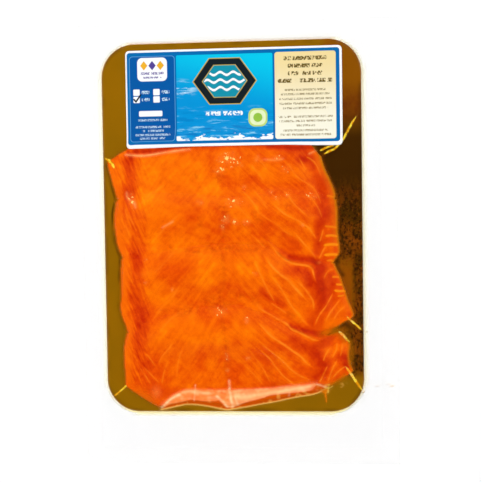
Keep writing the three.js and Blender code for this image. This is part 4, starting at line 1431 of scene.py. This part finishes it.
def make_card():
    """The card: a rounded plate with a rolled cut edge and a plain back."""
    turns = 28
    outline = []
    for k, (side, end) in enumerate(((1, 1), (-1, 1), (-1, -1), (1, -1))):
        corner = (side * (CARD_WIDTH / 2 - CARD_CORNER), end * (CARD_LENGTH / 2 - CARD_CORNER))
        for angle in np.linspace(k * math.pi / 2, (k + 1) * math.pi / 2, turns):
            outline.append((*corner, math.cos(angle), math.sin(angle)))
    corner_x, corner_y, out_x, out_y = np.array(outline).T
    levels = [
        (CARD_LOW[2], -ROUND_EDGE), (CARD_LOW[2] + ROUND_EDGE, 0.0),
        (CARD_TOP - ROUND_EDGE, 0.0), (CARD_TOP, -ROUND_EDGE),
    ]
    count = len(outline)
    points = []
    for z, inset in levels:
        radius = CARD_CORNER + inset
        points.append(to_frame(corner_x + out_x * radius, corner_y + out_y * radius, np.full(count, z)))
    around = np.arange(count)
    ahead = (around + 1) % count
    faces = []
    for low in range(0, count * (len(levels) - 1), count):
        high = low + count
        faces += np.column_stack([around + low, ahead + low, ahead + high, around + high]).tolist()
    faces.append(around[::-1].tolist())
    faces.append((around + count * (len(levels) - 1)).tolist())
    points = np.concatenate(points)
    make_piece("card", points, faces, card_edge_material(), None, ["board"], len(faces))


def foil_fields(slices):
    """What the foil material reads, as fields on the lattice."""
    # Painted reflection: these fields paint the foil's right side dark, mottled, brown and amber where it
    # mirrors dark surroundings.
    right = smoothstep(X, 46, 54)
    mottled_reflection = right * smoothstep(Y, -80, -60) * smoothstep(Y, 34, 18)
    mottled_reflection = np.maximum(mottled_reflection, smoothstep(X, 58, 64) * smoothstep(Y, -84, -76) * smoothstep(Y, 0, -40))
    brown_reflection = smoothstep(X, 51, 55) * smoothstep(X, 66, 62.5)
    brown_reflection = brown_reflection * smoothstep(Y, -14, -26) * smoothstep(Y, -60, -50)
    # The film stands off the card beside the fish and leaves a dark line there.
    near_fish = blur(covered(slices).astype(float), 1.1)
    shade = np.exp(-((near_fish - 0.1 - 0.09 * noise(7)) / 0.07) ** 2) * np.clip(0.7 + 0.6 * noise(5), 0, 1)
    shade *= smoothstep(near_fish, 0.01, 0.06)
    left = smoothstep(X, 0, -20) * smoothstep(Y, 40, 34) * smoothstep(Y, -56, -50)
    shade *= 0.1 + left * (0.3 + 0.25 * smoothstep(Y, -34, -24))
    shade = np.maximum(shade, 0.75 * along_paths(NOTCH_SHADES))
    shade = np.maximum(shade, 0.35 * smoothstep(on_card(), 2.4, 0.9) * np.clip(0.4 + noise(7), 0, 1))
    return {
        # Painted reflection: dark brown beside the upper right of the fish.
        "dark": 0.95 * smoothstep(X, 42, 47) * smoothstep(Y, 4, 30) * smoothstep(Y, 66, 46),
        "mottled_reflection": mottled_reflection * (1 - 0.9 * brown_reflection),
        "brown_reflection": brown_reflection,
        "amber_reflection": right * smoothstep(Y, 44, 60),
        "ruddy": smoothstep(Y, 80, 66),
        "shade": shade,
    }


def make_foil(slices):
    """The card's foil face, a fine sheet on its top with the fields that its material reads."""
    grid = (200, 290)
    u, v = np.meshgrid(np.linspace(-1, 1, grid[0] + 1), np.linspace(-1, 1, grid[1] + 1))
    half_x, half_y = CARD_WIDTH / 2 - FOIL_INSET, CARD_LENGTH / 2 - FOIL_INSET
    x, y = round_in(u * half_x, v * half_y, half_x, half_y, CARD_CORNER - FOIL_INSET)
    x, y = x.ravel(), y.ravel()
    attributes = {key: sample(field, x, y) for key, field in foil_fields(slices).items()}
    z = np.full(x.shape, CARD_TOP + FOIL_LIFT)
    make_sheet("card_foil", grid, x, y, z, foil_material(), attributes)


# ---- Label ----
LABEL_CORNER = 2.2
LABEL_TRIM = 0.5  # how much narrower than its solid the label is at the left
LABEL_SHIFT = 0.2  # how much nearer to the foot than its solid it lies
LABEL_DROOP = 0.55  # how far its foot corners are drawn in where they bend down
LABEL_THICKNESS = 0.12
LABEL_GAP = 0.12  # what it keeps clear of the film


def make_label(sheet):
    grid = (156, 70)
    x0, x1 = LABEL_LOW[0] - CENTRE[0] + LABEL_TRIM, LABEL_HIGH[0] - CENTRE[0]
    y0, y1 = LABEL_LOW[1] - CENTRE[1] - LABEL_SHIFT, LABEL_HIGH[1] - CENTRE[1] - LABEL_SHIFT
    middle_x, middle_y = (x0 + x1) / 2, (y0 + y1) / 2
    half_x, half_y = (x1 - x0) / 2, (y1 - y0) / 2
    u, v = np.meshgrid(np.linspace(-1, 1, grid[0] + 1), np.linspace(-1, 1, grid[1] + 1))
    x, y = round_in(u * half_x, v * half_y, half_x, half_y, LABEL_CORNER)
    x, y = x.ravel() + middle_x, y.ravel() + middle_y
    # Its foot corners bend down over the end of the fish, which draws them in a little.
    y = y - LABEL_DROOP * (1 - v.ravel()) / 2 * smoothstep(np.abs(x - middle_x), 20, 56)
    under = sample(np.maximum(blur(sheet, 2.5), sheet) + LABEL_GAP, x, y)
    top = under + LABEL_THICKNESS
    piece = make_plate("printed_label", grid, x, y, top, under, label_material(), "label")
    # The print is painted in millimetres, which ride the mesh as its UV map.
    mesh = piece.data
    layer = mesh.uv_layers.new(name="label_mm")
    vertex = np.zeros(len(mesh.loops), int)
    mesh.loops.foreach_get("vertex_index", vertex)
    places = np.column_stack([np.tile(x, 2), np.tile(y, 2)])
    layer.data.foreach_set("uv", places[vertex].astype(np.float32).ravel())


# ---- Stage ----
CAMERA = {
    "place": (36.487, 8.542, 448.518),  # in millimetres from the card's centre, above its face
    "look": (-0.07084, -0.03483, -0.99688),
    "up": (0.01239, 0.99928, -0.03580),
    "lens": 62.2,
    "sensor": 36.0,
}
LIGHTS = [
    {"name": "left", "place": (-1.0, 0.2, 1.1), "size": (1.2, 1.2), "power": 13.0},
    {"name": "right", "place": (1.0, 0.3, 1.1), "size": (1.2, 1.2), "power": 10.5},
    {"name": "front", "place": (0.1, -1.1, 0.9), "size": (1.2, 0.8), "power": 6.7},
    {"name": "back", "place": (0.0, 1.1, 1.1), "size": (1.2, 0.8), "power": 8.6},
    # A low strip, the only lamp that the film and the foil mirror.
    {"name": "strip", "place": (0.05, -0.9, 0.85), "size": (0.7, 0.12), "power": 0.4, "mirrored": True},
]
FLOOR_HALF = 1.0  # in metres, as all sizes of the stage
FLOOR_DROP = 0.0001  # how far the floor lies below the pouch
LOW_SKY = (0.95, 0.95, 0.95, 1)
HIGH_SKY = (0.03, 0.03, 0.03, 1)


def make_camera():
    data = bpy.data.cameras.new("camera")
    data.lens = CAMERA["lens"]
    data.sensor_width = CAMERA["sensor"]
    camera = add_object("camera", data)
    back = -Vector(CAMERA["look"]).normalized()
    right = Vector(CAMERA["up"]).cross(back).normalized()
    up = back.cross(right)
    turn = Matrix((right, up, back)).transposed().to_4x4()
    x, y, z = CAMERA["place"]
    place = Vector(((x + CENTRE[0]) * MM, (y + CENTRE[1]) * MM, (z + CARD_TOP) * MM))
    camera.matrix_world = Matrix.Translation(place) @ turn
    bpy.context.scene.camera = camera


def make_floor():
    mesh = bpy.data.meshes.new("floor")
    signs = ((-1, -1), (1, -1), (1, 1), (-1, 1))
    corners = [(x * FLOOR_HALF, y * FLOOR_HALF, -FLOOR_DROP) for x, y in signs]
    mesh.from_pydata(corners, [], [(0, 1, 2, 3)])
    g = Graph("floor")
    tone = g.mix(g.noise(g.place(), 60), (0.895, 0.895, 0.9, 1), (0.91, 0.91, 0.915, 1))
    inputs = {"Base Color": tone, "Roughness": 0.9, "Specular IOR Level": 0.1}
    mesh.materials.append(g.finish(g.node("BsdfPrincipled", inputs)))
    add_object("floor", mesh)


def make_lights():
    for light in LIGHTS:
        data = bpy.data.lights.new(light["name"], "AREA")
        data.shape = "RECTANGLE"
        data.size, data.size_y = light["size"]
        data.energy = light["power"]
        lamp = add_object(light["name"], data)
        lamp.location = light["place"]
        lamp.rotation_euler = (-Vector(light["place"])).to_track_quat("-Z", "Y").to_euler()
        lamp.visible_glossy = light.get("mirrored", False)
    world = bpy.data.worlds.new("studio")
    world.use_nodes = True
    g = Graph("studio", world.node_tree)
    height = g.node("SeparateXYZ", {0: g.node("TexCoord").outputs["Generated"]}).outputs[2]
    tone = g.mix(g.step(height, 0.08, 0.55), LOW_SKY, HIGH_SKY)
    background = g.node("Background", {"Color": tone, "Strength": 1.0})
    output = g.node("OutputWorld")
    world.node_tree.links.new(background.outputs[0], output.inputs["Surface"])
    bpy.context.scene.world = world


def main():
    bpy.context.scene.view_settings.view_transform = "Standard"
    make_camera()
    make_floor()
    make_lights()
    slices, skin = lay_slices()
    flesh = fish_material()
    fields = flesh_fields(slices)
    for item in slices:
        make_slice(item, fields, flesh)
    make_card()
    make_foil(slices)
    sheet = film_height(skin)
    make_film(sheet, slices)
    make_film_back()
    make_label(sheet)


main()
